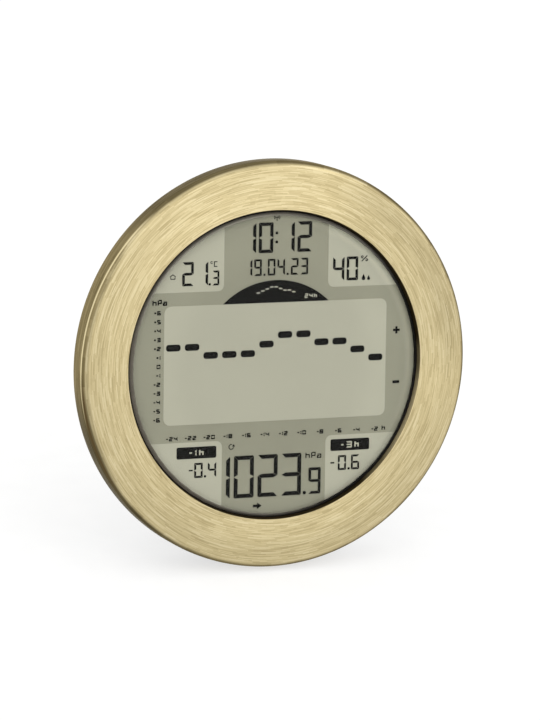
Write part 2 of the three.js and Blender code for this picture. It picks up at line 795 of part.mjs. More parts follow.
function boardParts() {
  const dome = turned([
    [0, partSeat], [controllerRadius, partSeat], [controllerRadius * 4 / 5, partSeat + chipHeight * 3 / 4],
    [controllerRadius / 2, partSeat + chipHeight], [0, partSeat + chipHeight],
  ], roundSides);
  const driver = block(span(0, driverHalf), [partSeat, partSeat + chipHeight], span(0, driverHalf));
  const crystal = rodAcross(crystalRadius, span(0, crystalHalf), partSeat + crystalRadius, 0, smallSides);
  const capacitor = turned([
    [0, partSeat], [capacitorRadius, partSeat],
    [capacitorRadius, partSeat + capacitorHeight, capacitorRadius / 6], [0, partSeat + capacitorHeight],
  ], pinSides);
  const receiver = block(
    span(0, receiverHalfWidth), [partSeat, partSeat + receiverThickness], span(0, receiverHalfHeight),
  );
  return [
    onBoard(piece('controller_chip', dome, chipBlack), controllerShares),
    onBoard(piece('display_driver_chip', driver, chipBlack), driverShares),
    onBoard(piece('watch_crystal', crystal, nickel), crystalShares),
    onBoard(piece('reservoir_capacitor', capacitor, ferrite), capacitorShares),
    sensor('pressure_sensor', steel, pressureShares),
    sensor('humidity_sensor', whitePlastic, humidityShares),
    onBoard(piece('receiver_board', receiver, boardGreen), receiverShares),
  ];
}

// Time signal antenna: a wound ferrite rod in a clip on the inside of the rear cover
const antennaStep = 2;
const antennaDepth = 19;
const ferriteRadius = 4;
const ferriteHalf = 32;
const coilThickness = 0.9;
const coilHalf = 14;
const clipBase = 1.9;
const clipHalfWidth = 6;
const clipArmPlace = 24;
const clipArmHalf = 1.5;
const clipGrip = 1.6;
const clipThroat = 3.2;
const antennaPlace = boardHalfWidth + antennaStep;

function antenna() {
  const rod = rodUpright(ferriteRadius, span(0, ferriteHalf), -antennaPlace, antennaDepth, keySides);
  const bore = rodUpright(
    ferriteRadius + seatGap, span(0, coilHalf + cutOverrun), -antennaPlace, antennaDepth, keySides,
  );
  const sleeveRadius = ferriteRadius + seatGap + coilThickness;
  const sleeve = rodUpright(sleeveRadius, span(0, coilHalf), -antennaPlace, antennaDepth, keySides);
  const baseBack = coverInside - seatGap;
  const base = block(
    span(-antennaPlace, clipHalfWidth), [baseBack - clipBase, baseBack], span(0, clipArmPlace + clipArmHalf),
  );
  const arms = [-clipArmPlace, clipArmPlace].map((place) => block(
    span(-antennaPlace, clipHalfWidth),
    [antennaDepth - ferriteRadius + clipGrip, baseBack - clipBase + moulding],
    span(place, clipArmHalf),
  ));
  const clipLength = clipArmPlace + clipArmHalf + cutOverrun;
  const channel = rodUpright(
    ferriteRadius + seatGap, span(0, clipLength), -antennaPlace, antennaDepth, keySides,
  );
  const throat = block(
    span(-antennaPlace, clipThroat), [antennaDepth - ferriteRadius, antennaDepth], span(0, clipLength),
  );
  return [
    piece('ferrite_rod', rod, ferrite),
    piece('antenna_coil', sleeve.subtract(bore), copper),
    piece('antenna_holder', cut(join([base, ...arms]), [channel, throat]), whitePlastic),
  ];
}

// Keys through the rear cover, each over a switch on the board
const keyPitch = 18;
const keyRowShare = 0.1;
const keyCapRadius = 4;
const keyCapRise = 1;
const keyCapEdge = 0.6;
const keyFlangeRadius = 5.2;
const keyFlangeThickness = 1.2;
const keyStemRadius = 2.4;
const keyDish = 0.6;
const keyDishRadius = 6.4;
const switchHalf = 3;
const switchHeight = 3.6;
const switchWell = 1.8;
const plungerRadius = 1.7;
const plungerLength = 1.7;
const plungerRise = 0.7;
const keyNames = ['set_button', 'down_button', 'history_button', 'up_button', 'receive_button'];
const keyRow = doorOpeningTop + keyRowShare * bezelRadius;
const keyPlaces = keyNames.map((_, index) => (index - (keyNames.length - 1) / 2) * keyPitch);
const switchBack = partSeat + switchHeight;
const plungerBack = switchBack + plungerRise;

function tactSwitch(index) {
  const body = block(span(0, switchHalf), [partSeat, switchBack], span(0, switchHalf));
  const wellDepths = [switchBack - switchWell, switchBack + cutOverrun];
  const well = disc(plungerRadius + seatGap, wellDepths, smallSides);
  return piece(`tact_switch_${index + 1}`, body.subtract(well), steel);
}

function switchPlunger(index) {
  const plunger = disc(plungerRadius, [plungerBack - plungerLength, plungerBack], smallSides);
  return piece(`switch_plunger_${index + 1}`, plunger, chipBlack);
}

function keyCap(name) {
  const flangeBack = coverInside - seatGap;
  const capBack = caseDepth + keyCapRise;
  const cap = turned([
    [0, plungerBack + seatGap],
    [keyStemRadius, plungerBack + seatGap],
    [keyStemRadius, flangeBack - keyFlangeThickness],
    [keyFlangeRadius, flangeBack - keyFlangeThickness],
    [keyFlangeRadius, flangeBack],
    [keyCapRadius, flangeBack],
    [keyCapRadius, capBack - keyCapEdge],
    [keyCapRadius - keyCapEdge, capBack],
    [0, capBack],
  ], keySides);
  return piece(name, cap, blackPlastic);
}

function keys() {
  return keyNames.flatMap((name, index) => (
    [tactSwitch(index), switchPlunger(index), keyCap(name)].map((mesh) => {
      mesh.position.set(keyPlaces[index], 0, keyRow);
      return mesh;
    })
  ));
}

// Rear cover: tapered shell with the battery bay, the leg recess, vents, key holes and a keyhole
const coverShoulder = 2.9;
const coverStep = 0.7;
const coverStepDepth = 0.8;
const coverTaper = 5.3;
const coverEdgeRadius = 4.5;
const coverSideWall = 2.3;
const tongueThickness = 1.8;
const tongueReach = 1.7;
const tongueRun = 1.5;
const towerDrop = 4.5;
const counterbore = 3.8;
const bayFlange = 2;
const bayFlangeThickness = 1.8;
const earWidth = 7;
const earHalf = 5;
const trayWall = 1.8;
const legSideGap = 0.5;
const ventCount = 5;
const ventPitch = 5;
const ventHalfLength = 6;
const ventHalfWidth = 0.9;
const ventPlaceShare = 0.63;
const ventHeightShare = -0.435;
const hangerGapShare = 0.14;
const hangerEntry = 5;
const hangerSlot = 2.4;
const hangerRunShare = 0.1;
const hangerMargin = 2;
const hangerDepth = 5.3;
const hangerWall = 1.5;
const coverWall = caseDepth - coverInside;
const coverFront = housingDepth + seatGap;
const coverShoulderBack = coverFront + coverShoulder;
const coverTaperFront = coverShoulderBack + coverStepDepth;
const coverTaperRadius = housingRadius - coverStep;
const coverTaperSlope = coverTaper / (caseDepth - coverTaperFront);
const tongueOuter = housingRadius - housingWall - seatGap;
const tongueInner = tongueOuter - tongueThickness;
const caseBossEnd = coverInside - towerDrop - seatGap;
const recessTop = Math.hypot(legHalf, legHeel) + legSideGap;
const heelDrop = legHalf * Math.cos(legOpenAngle) + legHeel * Math.sin(legOpenAngle);
const recessFloor = hingeDepth - heelDrop - seatGap;
const keyholeEntry = keyRow + hangerGapShare * bezelRadius;
const keyholeTop = keyholeEntry + hangerRunShare * bezelRadius;
const pastBack = caseDepth + cutOverrun;

function taperRadius(depth) {
  return coverTaperRadius - (depth - coverTaperFront) * coverTaperSlope;
}

const coverOutside = [
  [housingRadius, coverFront],
  [housingRadius, coverShoulderBack],
  [coverTaperRadius, coverTaperFront],
  [taperRadius(caseDepth), caseDepth, coverEdgeRadius],
  [0, caseDepth],
];

function coverShell() {
  return turned([
    [0, coverInside],
    [taperRadius(coverInside) - coverSideWall, coverInside, coverEdgeRadius - coverWall],
    [coverTaperRadius - coverSideWall, coverTaperFront],
    [tongueInner, coverTaperFront - tongueRun],
    [tongueInner, coverFront - tongueReach],
    [tongueOuter, coverFront - tongueReach],
    [tongueOuter, coverFront],
    ...coverOutside,
  ], ringSides);
}

function screwTowers() {
  return caseScrewPlaces.map(([x, z]) => disc(
    counterboreRadius + bayWall, [coverInside - towerDrop, caseDepth - moulding], pinSides, x, z,
  ));
}
const counterboreRadius = caseScrewHead + seatGap + seatGap;
const caseScrewSeat = caseDepth - counterbore + seatGap;

function screwHoles() {
  return caseScrewPlaces.flatMap(([x, z]) => [
    disc(casePilotRadius, [coverInside - towerDrop - cutOverrun, pastBack], pinSides, x, z),
    disc(counterboreRadius, [caseDepth - counterbore, pastBack], pinSides, x, z),
  ]);
}

function bayWalls() {
  const tub = block(
    span(0, bayHalf + bayWall), [bayFront, coverInside + moulding], [bayBottom - bayWall, bayTop + bayWall],
  );
  const flange = block(
    span(0, doorOpeningHalf + bayFlange),
    [coverInside - bayFlangeThickness, coverInside + moulding],
    [doorOpeningBottom - bayFlange, doorOpeningTop + bayFlange],
  );
  return [tub, flange];
}

// Room for the cells: the tub's inside, less the saddle ribs that carry the cells.
function bayRoom() {
  const room = block(span(0, bayHalf), [bayFloor, pastBack], [bayBottom, bayTop]);
  const saddles = [-saddleSpacing, 0, saddleSpacing].map((place) => block(
    span(place, saddleThickness / 2), [bayFloor, bayFloor + saddleHeight], [bayBottom, bayTop],
  ));
  const beds = [upperCell, lowerCell].map((height) => rodAcross(
    cellRadius + seatGap, span(0, bayHalf), cellDepth, height, roundSides,
  ));
  return cut(room, saddles).add(join(beds).intersect(room));
}

function doorCuts() {
  const opening = block(
    span(0, doorOpeningHalf), [coverInside, pastBack], [doorOpeningBottom, doorOpeningTop],
  );
  const hookSlots = [-doorHookPlace, doorHookPlace].map((place) => block(
    span(place, doorHookWidth / 2 + doorHookClearance),
    [doorHingeDepth - hookSwing - doorHookClearance, coverInside],
    [doorHingeHeight - hookSwing - doorHookClearance, bayBottom + cutOverrun],
  ));
  const latchNotch = block(
    span(0, latchHalf + latchSlot),
    [doorFront - latchNose - cutOverrun, coverInside + cutOverrun],
    [bayTop - cutOverrun, doorOpeningTop],
  );
  const leadHoles = [upperCell, lowerCell].map((height) => rodAcross(
    leadHoleRadius, [-bayHalf - bayWall - cutOverrun, cutOverrun - bayHalf], cellDepth, height, smallSides,
  ));
  return [opening, ...hookSlots, latchNotch, ...leadHoles];
}

// Plan of the leg recess, wider than the leg by a margin all round and open at the lower edge.
function recessPlan(margin) {
  const foot = -bezelRadius - cutOverrun;
  const top = hingeHeight + recessTop + margin;
  const topHalf = legTopHalf + legSideGap + margin;
  const footHalf = legHalfWidth(foot - hingeHeight) + legSideGap + margin;
  return [
    [-topHalf, top], [-topHalf, hingeHeight], [-footHalf, foot],
    [footHalf, foot], [topHalf, hingeHeight], [topHalf, top],
  ];
}

function legTray() {
  const tray = plate(recessPlan(trayWall), [recessFloor - trayWall, caseDepth - moulding]);
  const earMiddle = legTopHalf + legSideGap + earWidth / 2;
  const ears = [-earMiddle, earMiddle].map((middle) => block(
    span(middle, earWidth / 2), [recessFloor - trayWall, caseDepth - moulding], span(hingeHeight, earHalf),
  ));
  return [tray, ...ears];
}

function legCuts() {
  const recess = plate(recessPlan(0), [recessFloor, pastBack]);
  const pinBore = rodAcross(
    hingeBore, span(0, hingePinHalf + seatGap), hingeDepth, hingeHeight, pinSides,
  );
  return [recess, pinBore];
}

// Hanging pocket: an entry for a screw head, a narrow slot above it and a box behind both.
function hangerBox(margin) {
  return block(
    span(0, hangerEntry + hangerMargin + margin),
    [coverInside - hangerDepth - margin, coverInside + moulding],
    [keyholeEntry - hangerEntry - margin, keyholeTop + hangerSlot + hangerMargin + margin],
  );
}

function hangerCuts() {
  const room = block(
    span(0, hangerEntry + hangerMargin),
    [coverInside - hangerDepth, coverInside],
    [keyholeEntry - hangerEntry, keyholeTop + hangerSlot + hangerMargin],
  );
  const depths = [coverInside - moulding, pastBack];
  const entry = disc(hangerEntry, depths, roundSides, 0, keyholeEntry);
  const slot = block(span(0, hangerSlot), depths, [keyholeEntry, keyholeTop]);
  const slotEnd = disc(hangerSlot, depths, pinSides, 0, keyholeTop);
  return [room, entry, slot, slotEnd];
}

function vents() {
  const depths = [coverInside - cutOverrun, pastBack];
  const places = Array.from({ length: ventCount }, (_, index) => (
    ventHeightShare * taperRadius(caseDepth) + (index - (ventCount - 1) / 2) * ventPitch
  ));
  return [-1, 1].flatMap((side) => places.map((height) => plate(
    rectangle(
      span(side * ventPlaceShare * taperRadius(caseDepth), ventHalfLength), span(height, ventHalfWidth),
    ),
    depths,
  )));
}

function keyHoles() {
  return keyPlaces.flatMap((place) => [
    disc(keyCapRadius + seatGap, [coverInside - cutOverrun, pastBack], keySides, place, keyRow),
    disc(keyDishRadius, [caseDepth - keyDish, pastBack], keySides, place, keyRow),
  ]);
}

function rearCover() {
  const envelope = turned([[0, coverFront], ...coverOutside], ringSides);
  const features = join([...screwTowers(), ...bayWalls(), ...legTray(), hangerBox(hangerWall)]);
  const moulded = coverShell().add(features.intersect(envelope));
  const cuts = [
    ...screwHoles(), bayRoom(), ...doorCuts(), ...legCuts(), ...hangerCuts(), ...vents(), ...keyHoles(),
  ];
  return piece('rear_cover', cut(moulded, cuts), blackPlastic);
}

function caseScrews() {
  return caseScrewPlaces.map(([x, z], index) => {
    const name = `case_screw_${index + 1}`;
    const screw = crossScrew(name, caseScrewHead, caseScrewRadius, caseScrewSeat, caseScrewLength);
    screw.position.set(x, 0, z);
    return screw;
  });
}

// Assembly: the leg hangs on its hinge, the clock leans back and stands on z = 0
console.log(`least gap between spring curls: ${leastSpringGap().toFixed(2)} mm`);

const stand = new THREE.Group();
stand.add(standLeg(), footPad());
stand.position.set(0, hingeDepth, hingeHeight);
stand.rotation.x = legOpenAngle;

const pin = hingePin();
pin.position.set(0, hingeDepth, hingeHeight);

const clock = new THREE.Group();
clock.add(bezelRing(), frontHousing(), displayLens(), ...displayCell());
clock.add(mainBoard(), ...boardScrews(), ...boardParts(), ...antenna(), ...keys());
clock.add(rearCover(), ...caseScrews(), batteryDoor());
clock.add(cell('aa_cell_upper', upperCell, 0), cell('aa_cell_lower', lowerCell, Math.PI));
clock.add(...contacts());
clock.add(lead('battery_lead_red', upperCell, [redLeadReach, redLeadRise], redLeadColour));
clock.add(lead('battery_lead_black', lowerCell, [blackLeadReach, -blackLeadDrop], blackLeadColour));
clock.add(pin, stand);
clock.rotation.x = -leanAngle;

const model = new THREE.Group();
model.add(clock);
model.updateMatrixWorld(true);
const bounds = new THREE.Box3().setFromObject(model, true);
const middle = bounds.getCenter(new THREE.Vector3());
clock.position.set(-middle.x, -middle.y, -bounds.min.z);

export default model;
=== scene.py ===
"""Round table clock with a liquid crystal weather display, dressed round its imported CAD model."""
import math

import bmesh
import bpy
from mathutils import Matrix, Vector


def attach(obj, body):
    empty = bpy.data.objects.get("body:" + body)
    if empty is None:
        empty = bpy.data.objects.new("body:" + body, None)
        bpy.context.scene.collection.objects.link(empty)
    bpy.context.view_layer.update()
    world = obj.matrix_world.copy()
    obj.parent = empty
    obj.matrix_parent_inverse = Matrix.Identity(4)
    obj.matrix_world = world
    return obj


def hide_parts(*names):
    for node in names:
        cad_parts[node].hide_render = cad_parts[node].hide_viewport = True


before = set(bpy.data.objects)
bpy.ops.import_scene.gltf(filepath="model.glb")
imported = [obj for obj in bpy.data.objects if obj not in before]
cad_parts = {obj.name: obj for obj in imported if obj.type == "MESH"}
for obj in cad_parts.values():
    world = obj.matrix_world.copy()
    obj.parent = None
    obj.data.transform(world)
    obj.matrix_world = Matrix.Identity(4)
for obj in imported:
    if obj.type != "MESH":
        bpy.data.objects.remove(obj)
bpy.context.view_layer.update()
SCENE = bpy.context.scene
CASE = "case"

# Clock frame in millimetres: x to the right, y from the face towards the back, z up the face
MM = 0.001
LEAN = math.radians(12)
CLOCK_PLACE = Vector((0, -13.82, 99.9895))
CLOCK_TURN = Matrix.Rotation(-LEAN, 4, "X")
CLOCK_TO_ROW = Matrix.Scale(MM, 4) @ Matrix.Translation(CLOCK_PLACE) @ CLOCK_TURN

# Camera, fitted to the photograph of 540 by 720 pixels
FOCAL_PIXELS = 4099
LONG_SIDE_PIXELS = 720
SENSOR = 36
VIEW_AZIMUTH = math.radians(-21.2)
VIEW_ELEVATION = math.radians(8.76)
VIEW_ROLL = math.radians(0.81)
VIEW_AIM = Vector((-3.35, 0, 2.89))
VIEW_DISTANCE = 1985.97

# Light in metres and watts: white for what camera, metal and glass see, a plain level on the object
FLOOR_GLOW = 0.66
FLOOR_RADIUS = 9
FLOOR_SEGMENTS = 96
FLOOR_DROP = 0.0001
ROOM_LEVEL = 0.9
LAMP_AIM = Vector((0, 0, 0.1))
LAMPS = [
    # name, place, size, watts
    ("key_lamp", (-0.8, -2.6, 2.0), 4.6, 25),
    ("fill_lamp", (1.8, -1.6, 1.2), 2.2, 6),
]

# Shading: angles above which an edge stays sharp, and the weld of split corners in metres
PIECE_SHARP_ANGLE = math.radians(35)
NODE_SHARP_ANGLE = math.radians(38)
NODE_WELD = 1e-6

# Ring: the CAD model's profile in more segments
RING_SEGMENTS = 288
RING_RADIUS = 99.8
RING_WALL = 1.6
RING_DEPTH = 11.6
RING_EDGE = 3.3
RING_HEM = 0.4
WINDOW_RADIUS = 75.8
WINDOW_EDGE = 0.4
THROAT_RADIUS = 75.1
LIP_RADIUS = 77.4
LIP_DEPTH = 2.6
FILLET_STEPS = 10

# Depths of the prints: three layers in front of the display's polariser, and one on the back
LIGHT_LAYER = (4.12, 4.18)
DARK_LAYER = (4.04, 4.10)
TOP_LAYER = (3.97, 4.02)
BACK_LAYER = (30.02, 30.06)


def add_camera():
    back = Vector((
        math.sin(VIEW_AZIMUTH) * math.cos(VIEW_ELEVATION),
        -math.cos(VIEW_AZIMUTH) * math.cos(VIEW_ELEVATION),
        math.sin(VIEW_ELEVATION),
    ))
    right = Matrix.Rotation(VIEW_ROLL, 3, back) @ Vector((0, 0, 1)).cross(back).normalized()
    axes = Matrix((right, back.cross(right), back)).transposed()
    data = bpy.data.cameras.new("camera")
    data.sensor_width = SENSOR
    data.lens = FOCAL_PIXELS / LONG_SIDE_PIXELS * SENSOR
    camera = bpy.data.objects.new("camera", data)
    camera.matrix_world = CLOCK_TURN @ axes.to_4x4()
    camera.location = CLOCK_TO_ROW @ (VIEW_AIM + back * VIEW_DISTANCE)
    SCENE.collection.objects.link(camera)
    SCENE.camera = camera


# Shapes

BOX_CORNER_STEPS = 4


def rounded(corners, steps):
    """Outline through corners (x, y, radius), with each corner rounded by its radius."""
    points = []
    for index, (x, y, radius) in enumerate(corners):
        tip = Vector((x, y))
        if radius == 0:
            points.append((x, y))
            continue
        before = (Vector(corners[index - 1][:2]) - tip).normalized()
        after = (Vector(corners[(index + 1) % len(corners)][:2]) - tip).normalized()
        half = before.angle(after) / 2
        middle = tip + (before + after).normalized() * radius / math.sin(half)
        start = tip + before * radius / math.tan(half) - middle
        end = tip + after * radius / math.tan(half) - middle
        sweep = math.atan2(start.cross(end), start.dot(end))
        for step in range(steps + 1):
            turned = Matrix.Rotation(sweep * step / steps, 2) @ start
            points.append(tuple(middle + turned))
    return points


def add_piece(name, points, faces, slot, material, body=CASE):
    """Mesh piece from points in the clock frame, with its faces turned outwards."""
    mesh = bpy.data.meshes.new(name)
    mesh.from_pydata([CLOCK_TO_ROW @ Vector(point) for point in points], [], faces)
    work = bmesh.new()
    work.from_mesh(mesh)
    bmesh.ops.recalc_face_normals(work, faces=work.faces)
    work.to_mesh(mesh)
    work.free()
    mesh.shade_smooth()
    mesh.set_sharp_from_angle(angle=PIECE_SHARP_ANGLE)
    mesh.materials.append(material)
    shape = bpy.data.objects.new(name, mesh)
    SCENE.collection.objects.link(shape)
    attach(shape, body)
    return shape


def lathe(profile, segments):
    """Closed ring from a closed profile of (radius, depth) turned about the clock's axis."""
    points = []
    faces = []
    count = len(profile)
    for segment in range(segments):
        angle = 2 * math.pi * segment / segments
        for radius, depth in profile:
            points.append((radius * math.cos(angle), depth, radius * math.sin(angle)))
        here = segment * count
        there = (segment + 1) % segments * count
        for index in range(count):
            after = (index + 1) % count
            faces.append((here + index, here + after, there + after, there + index))
    return points, faces


def prisms(outlines, layer, shift=(0, 0)):
    """Flat closed shapes drawn with outlines (x, z) between the two depths of a layer."""
    points = []
    faces = []
    for outline in outlines:
        first = len(points)
        count = len(outline)
        for depth in layer:
            points += [(x, depth, z) for x, z in at(*shift, outline)]
        faces.append(tuple(range(first, first + count)))
        faces.append(tuple(range(first + 2 * count - 1, first + count - 1, -1)))
        for index in range(count):
            after = (index + 1) % count
            faces.append((first + index, first + after, first + count + after, first + count + index))
    return points, faces


def at(x, z, points):
    """Points (x, z) moved to a place."""
    return [(x + across, z + up) for across, up in points]


def box(left, right, bottom, top, corner=0):
    corners = [(left, bottom), (right, bottom), (right, top), (left, top)]
    return rounded([(*place, corner) for place in corners], BOX_CORNER_STEPS)


def box_at(x, z, width, height, corner=0):
    return box(x - width / 2, x + width / 2, z - height / 2, z + height / 2, corner)


def cross(x, z, size, stroke):
    """Plus sign round a centre."""
    arm = size / 2
    half = stroke / 2
    quarter = [(arm, -half), (arm, half), (half, half)]
    outline = []
    for _ in range(4):
        outline += quarter
        quarter = [(-up, across) for across, up in quarter]
    return at(x, z, outline)


def arc(x, z, radius, start, end, steps):
    """Points round a centre, from one angle in degrees to another."""
    angles = [math.radians(start + (end - start) * step / steps) for step in range(steps + 1)]
    return [(x + radius * math.cos(angle), z + radius * math.sin(angle)) for angle in angles]


def ribbon(path, stroke):
    """Outline of an open line with a stroke width and mitred corners."""
    path = [Vector(point) for point in path]
    sides = []
    for index, point in enumerate(path):
        ways = []
        if index > 0:
            ways.append((point - path[index - 1]).normalized())
        if index < len(path) - 1:
            ways.append((path[index + 1] - point).normalized())
        normals = [Vector((-way.y, way.x)) for way in ways]
        middle = sum(normals, Vector((0, 0))).normalized()
        sides.append((point, middle * stroke / 2 / middle.dot(normals[0])))
    left = [tuple(point + side) for point, side in sides]
    right = [tuple(point - side) for point, side in reversed(sides)]
    return left + right


# Digits and letters

# Lit segments of each digit: a to f clockwise from the top, g across the middle
LIT = {
    "0": "abcdef", "1": "bc", "2": "abged", "3": "abgcd", "4": "fgbc",
    "5": "afgcd", "6": "afgecd", "7": "abc", "8": "abcdefg", "9": "abcdfg",
}
SEGMENT_GAP = 0.15
SMALL_GAP = 0.04
CORNER_SHARE = 0.25

# Letters of units, as lines on a square of 1 by 1. NEXT stands for the right side of the stem.
NEXT = -1
STEM_GAP = 0.04
LETTERS = {
    "h": [[(0, 0), (0, 1)], [(NEXT, 0.62), (1, 0.62), (1, 0)]],
    "P": [[(0, 0), (0, 1)], [(NEXT, 1), (1, 1), (1, 0.42), (NEXT, 0.42)]],
    "a": [[(0, 0.62), (1, 0.62), (1, 0), (0, 0), (0, 0.32), (0.6, 0.32)]],
    "C": [[(1, 1), (0, 1), (0, 0), (1, 0)]],
}

# Widths of signs and the space between them, as shares of their height
DIGIT_WIDTH = 0.55
ONE_WIDTH = 0.3
SIGN_WIDTH = 0.42
LETTER_WIDTH = 0.72
LETTER_SPACE = 0.24


def digit(value, left, bottom, width, height, stroke, gap=SEGMENT_GAP):
    """Outlines of the lit segments of one seven segment digit."""
    cut = CORNER_SHARE * stroke
    near = gap / 2
    low, high = (cut - near) / 2, (cut + near) / 2
    middle = height / 2
    bar = [
        (cut, 0), (width - cut, 0), (width - high, low), (width - stroke - near, stroke),
        (stroke + near, stroke), (high, low),
    ]
    post = [
        (0, cut), (low, high), (stroke, stroke + near), (stroke, middle - stroke / 2 - near),
        (0, middle - near),
    ]
    centre = [
        (gap, middle), (stroke + gap, middle + stroke / 2),
        (width - stroke - gap, middle + stroke / 2), (width - gap, middle),
        (width - stroke - gap, middle - stroke / 2), (stroke + gap, middle - stroke / 2),
    ]

    def over(shape):
        return [(x, height - z) for x, z in shape]

    def across(shape):
        return [(width - x, z) for x, z in shape]

    segments = {
        "a": over(bar), "b": across(over(post)), "c": across(post), "d": bar,
        "e": post, "f": over(post), "g": centre,
    }
    return [at(left, bottom, segments[name]) for name in LIT[value]]


def letter(sign, left, bottom, width, height, stroke):
    """Outlines of the lines of one letter."""
    def place(across, up):
        side = stroke + STEM_GAP if across == NEXT else stroke / 2 + across * (width - stroke)
        return left + side, bottom + (stroke / 2 + up * (height - stroke))
    return [ribbon([place(*point) for point in line], stroke) for line in LETTERS[sign]]


def write(text, left, bottom, height, stroke, space=LETTER_SPACE, digit_width=DIGIT_WIDTH):
    """Outlines of a short row of digits, signs and unit letters, and its width."""
    outlines = []
    x = left
    for sign in text:
        if sign in "+-":
            width = height * SIGN_WIDTH
            draw = cross if sign == "+" else box_at
            outlines.append(draw(x + width / 2, bottom + height / 2, width, stroke))
        elif sign == "1":
            width = height * ONE_WIDTH
            outlines += digit("1", x + width - height, bottom, height, height, stroke, SMALL_GAP)
        elif sign in LIT:
            width = height * digit_width
            outlines += digit(sign, x, bottom, width, height, stroke, SMALL_GAP)
        else:
            width = height * LETTER_WIDTH
            outlines += letter(sign, x, bottom, width, height, stroke)
        x += width + height * space
    return outlines, x - left - height * space


def write_centred(text, x, z, height, stroke, **options):
    _, width = write(text, 0, 0, height, stroke, **options)
    return write(text, x - width / 2, z - height / 2, height, stroke, **options)[0]


def rows(*table):
    """Rows of digits placed by their left edges, each with a bottom, width, height and stroke."""
    return [
        line for digits, bottom, *size in table for value, left in digits
        for line in digit(value, left, bottom, *size)
    ]


# Materials

NOISE_SPAN = (0.3, 0.7)  # part of a noise's range that most masks use
# Edges marked by this mask are made lighter, as wear and as a painted edge highlight
WORN_LIT_EDGE = 0.86  # cosine between the true and the softened normal where an edge is fully worn
WORN_GLOSS = 0.12
GLOSS_SPREAD = 0.02
BEVEL_SAMPLES = 4


def rgb(red, green, blue):
    """Colour of a material from its screen value."""
    def linear(value):
        value /= 255
        return value / 12.92 if value <= 0.04045 else ((value + 0.055) / 1.055) ** 2.4
    return (linear(red), linear(green), linear(blue), 1)


def shade(colour, factor):
    return tuple(channel * factor for channel in colour[:3]) + (1,)


def shades(colour, dark, light, span=NOISE_SPAN):
    """Stops of a ramp from a darker to a lighter shade of a colour."""
    return [(span[0], shade(colour, dark)), (span[1], shade(colour, light))]


class Nodes:
    """A node tree under construction. A socket is fed by a node's output or by a plain value."""

    def __init__(self, tree, prefix="ShaderNode"):
        self.tree = tree
        self.prefix = prefix

    def feed(self, socket, value):
        if isinstance(value, bpy.types.NodeSocket):
            self.tree.links.new(value, socket)
        else:
            socket.default_value = value

    def node(self, kind, inputs=(), **settings):
        made = self.tree.nodes.new(self.prefix + kind)
        for key, value in settings.items():
            setattr(made, key, value)
        for socket, value in dict(inputs).items():
            self.feed(made.inputs[socket], value)
        return made

    def math(self, operation, first, second=0.0):
        return self.node("Math", {0: first, 1: second}, operation=operation).outputs[0]

    def product(self, first, second):
        return self.math("MULTIPLY", first, second)

    def sight(self):
        """1 for what the camera, metal and glass see, and 0 for what lights the object."""
        path = self.node("LightPath").outputs
        seen = self.math("MAXIMUM", path["Is Camera Ray"], path["Is Glossy Ray"])
        return self.math("MAXIMUM", seen, path["Is Transmission Ray"])


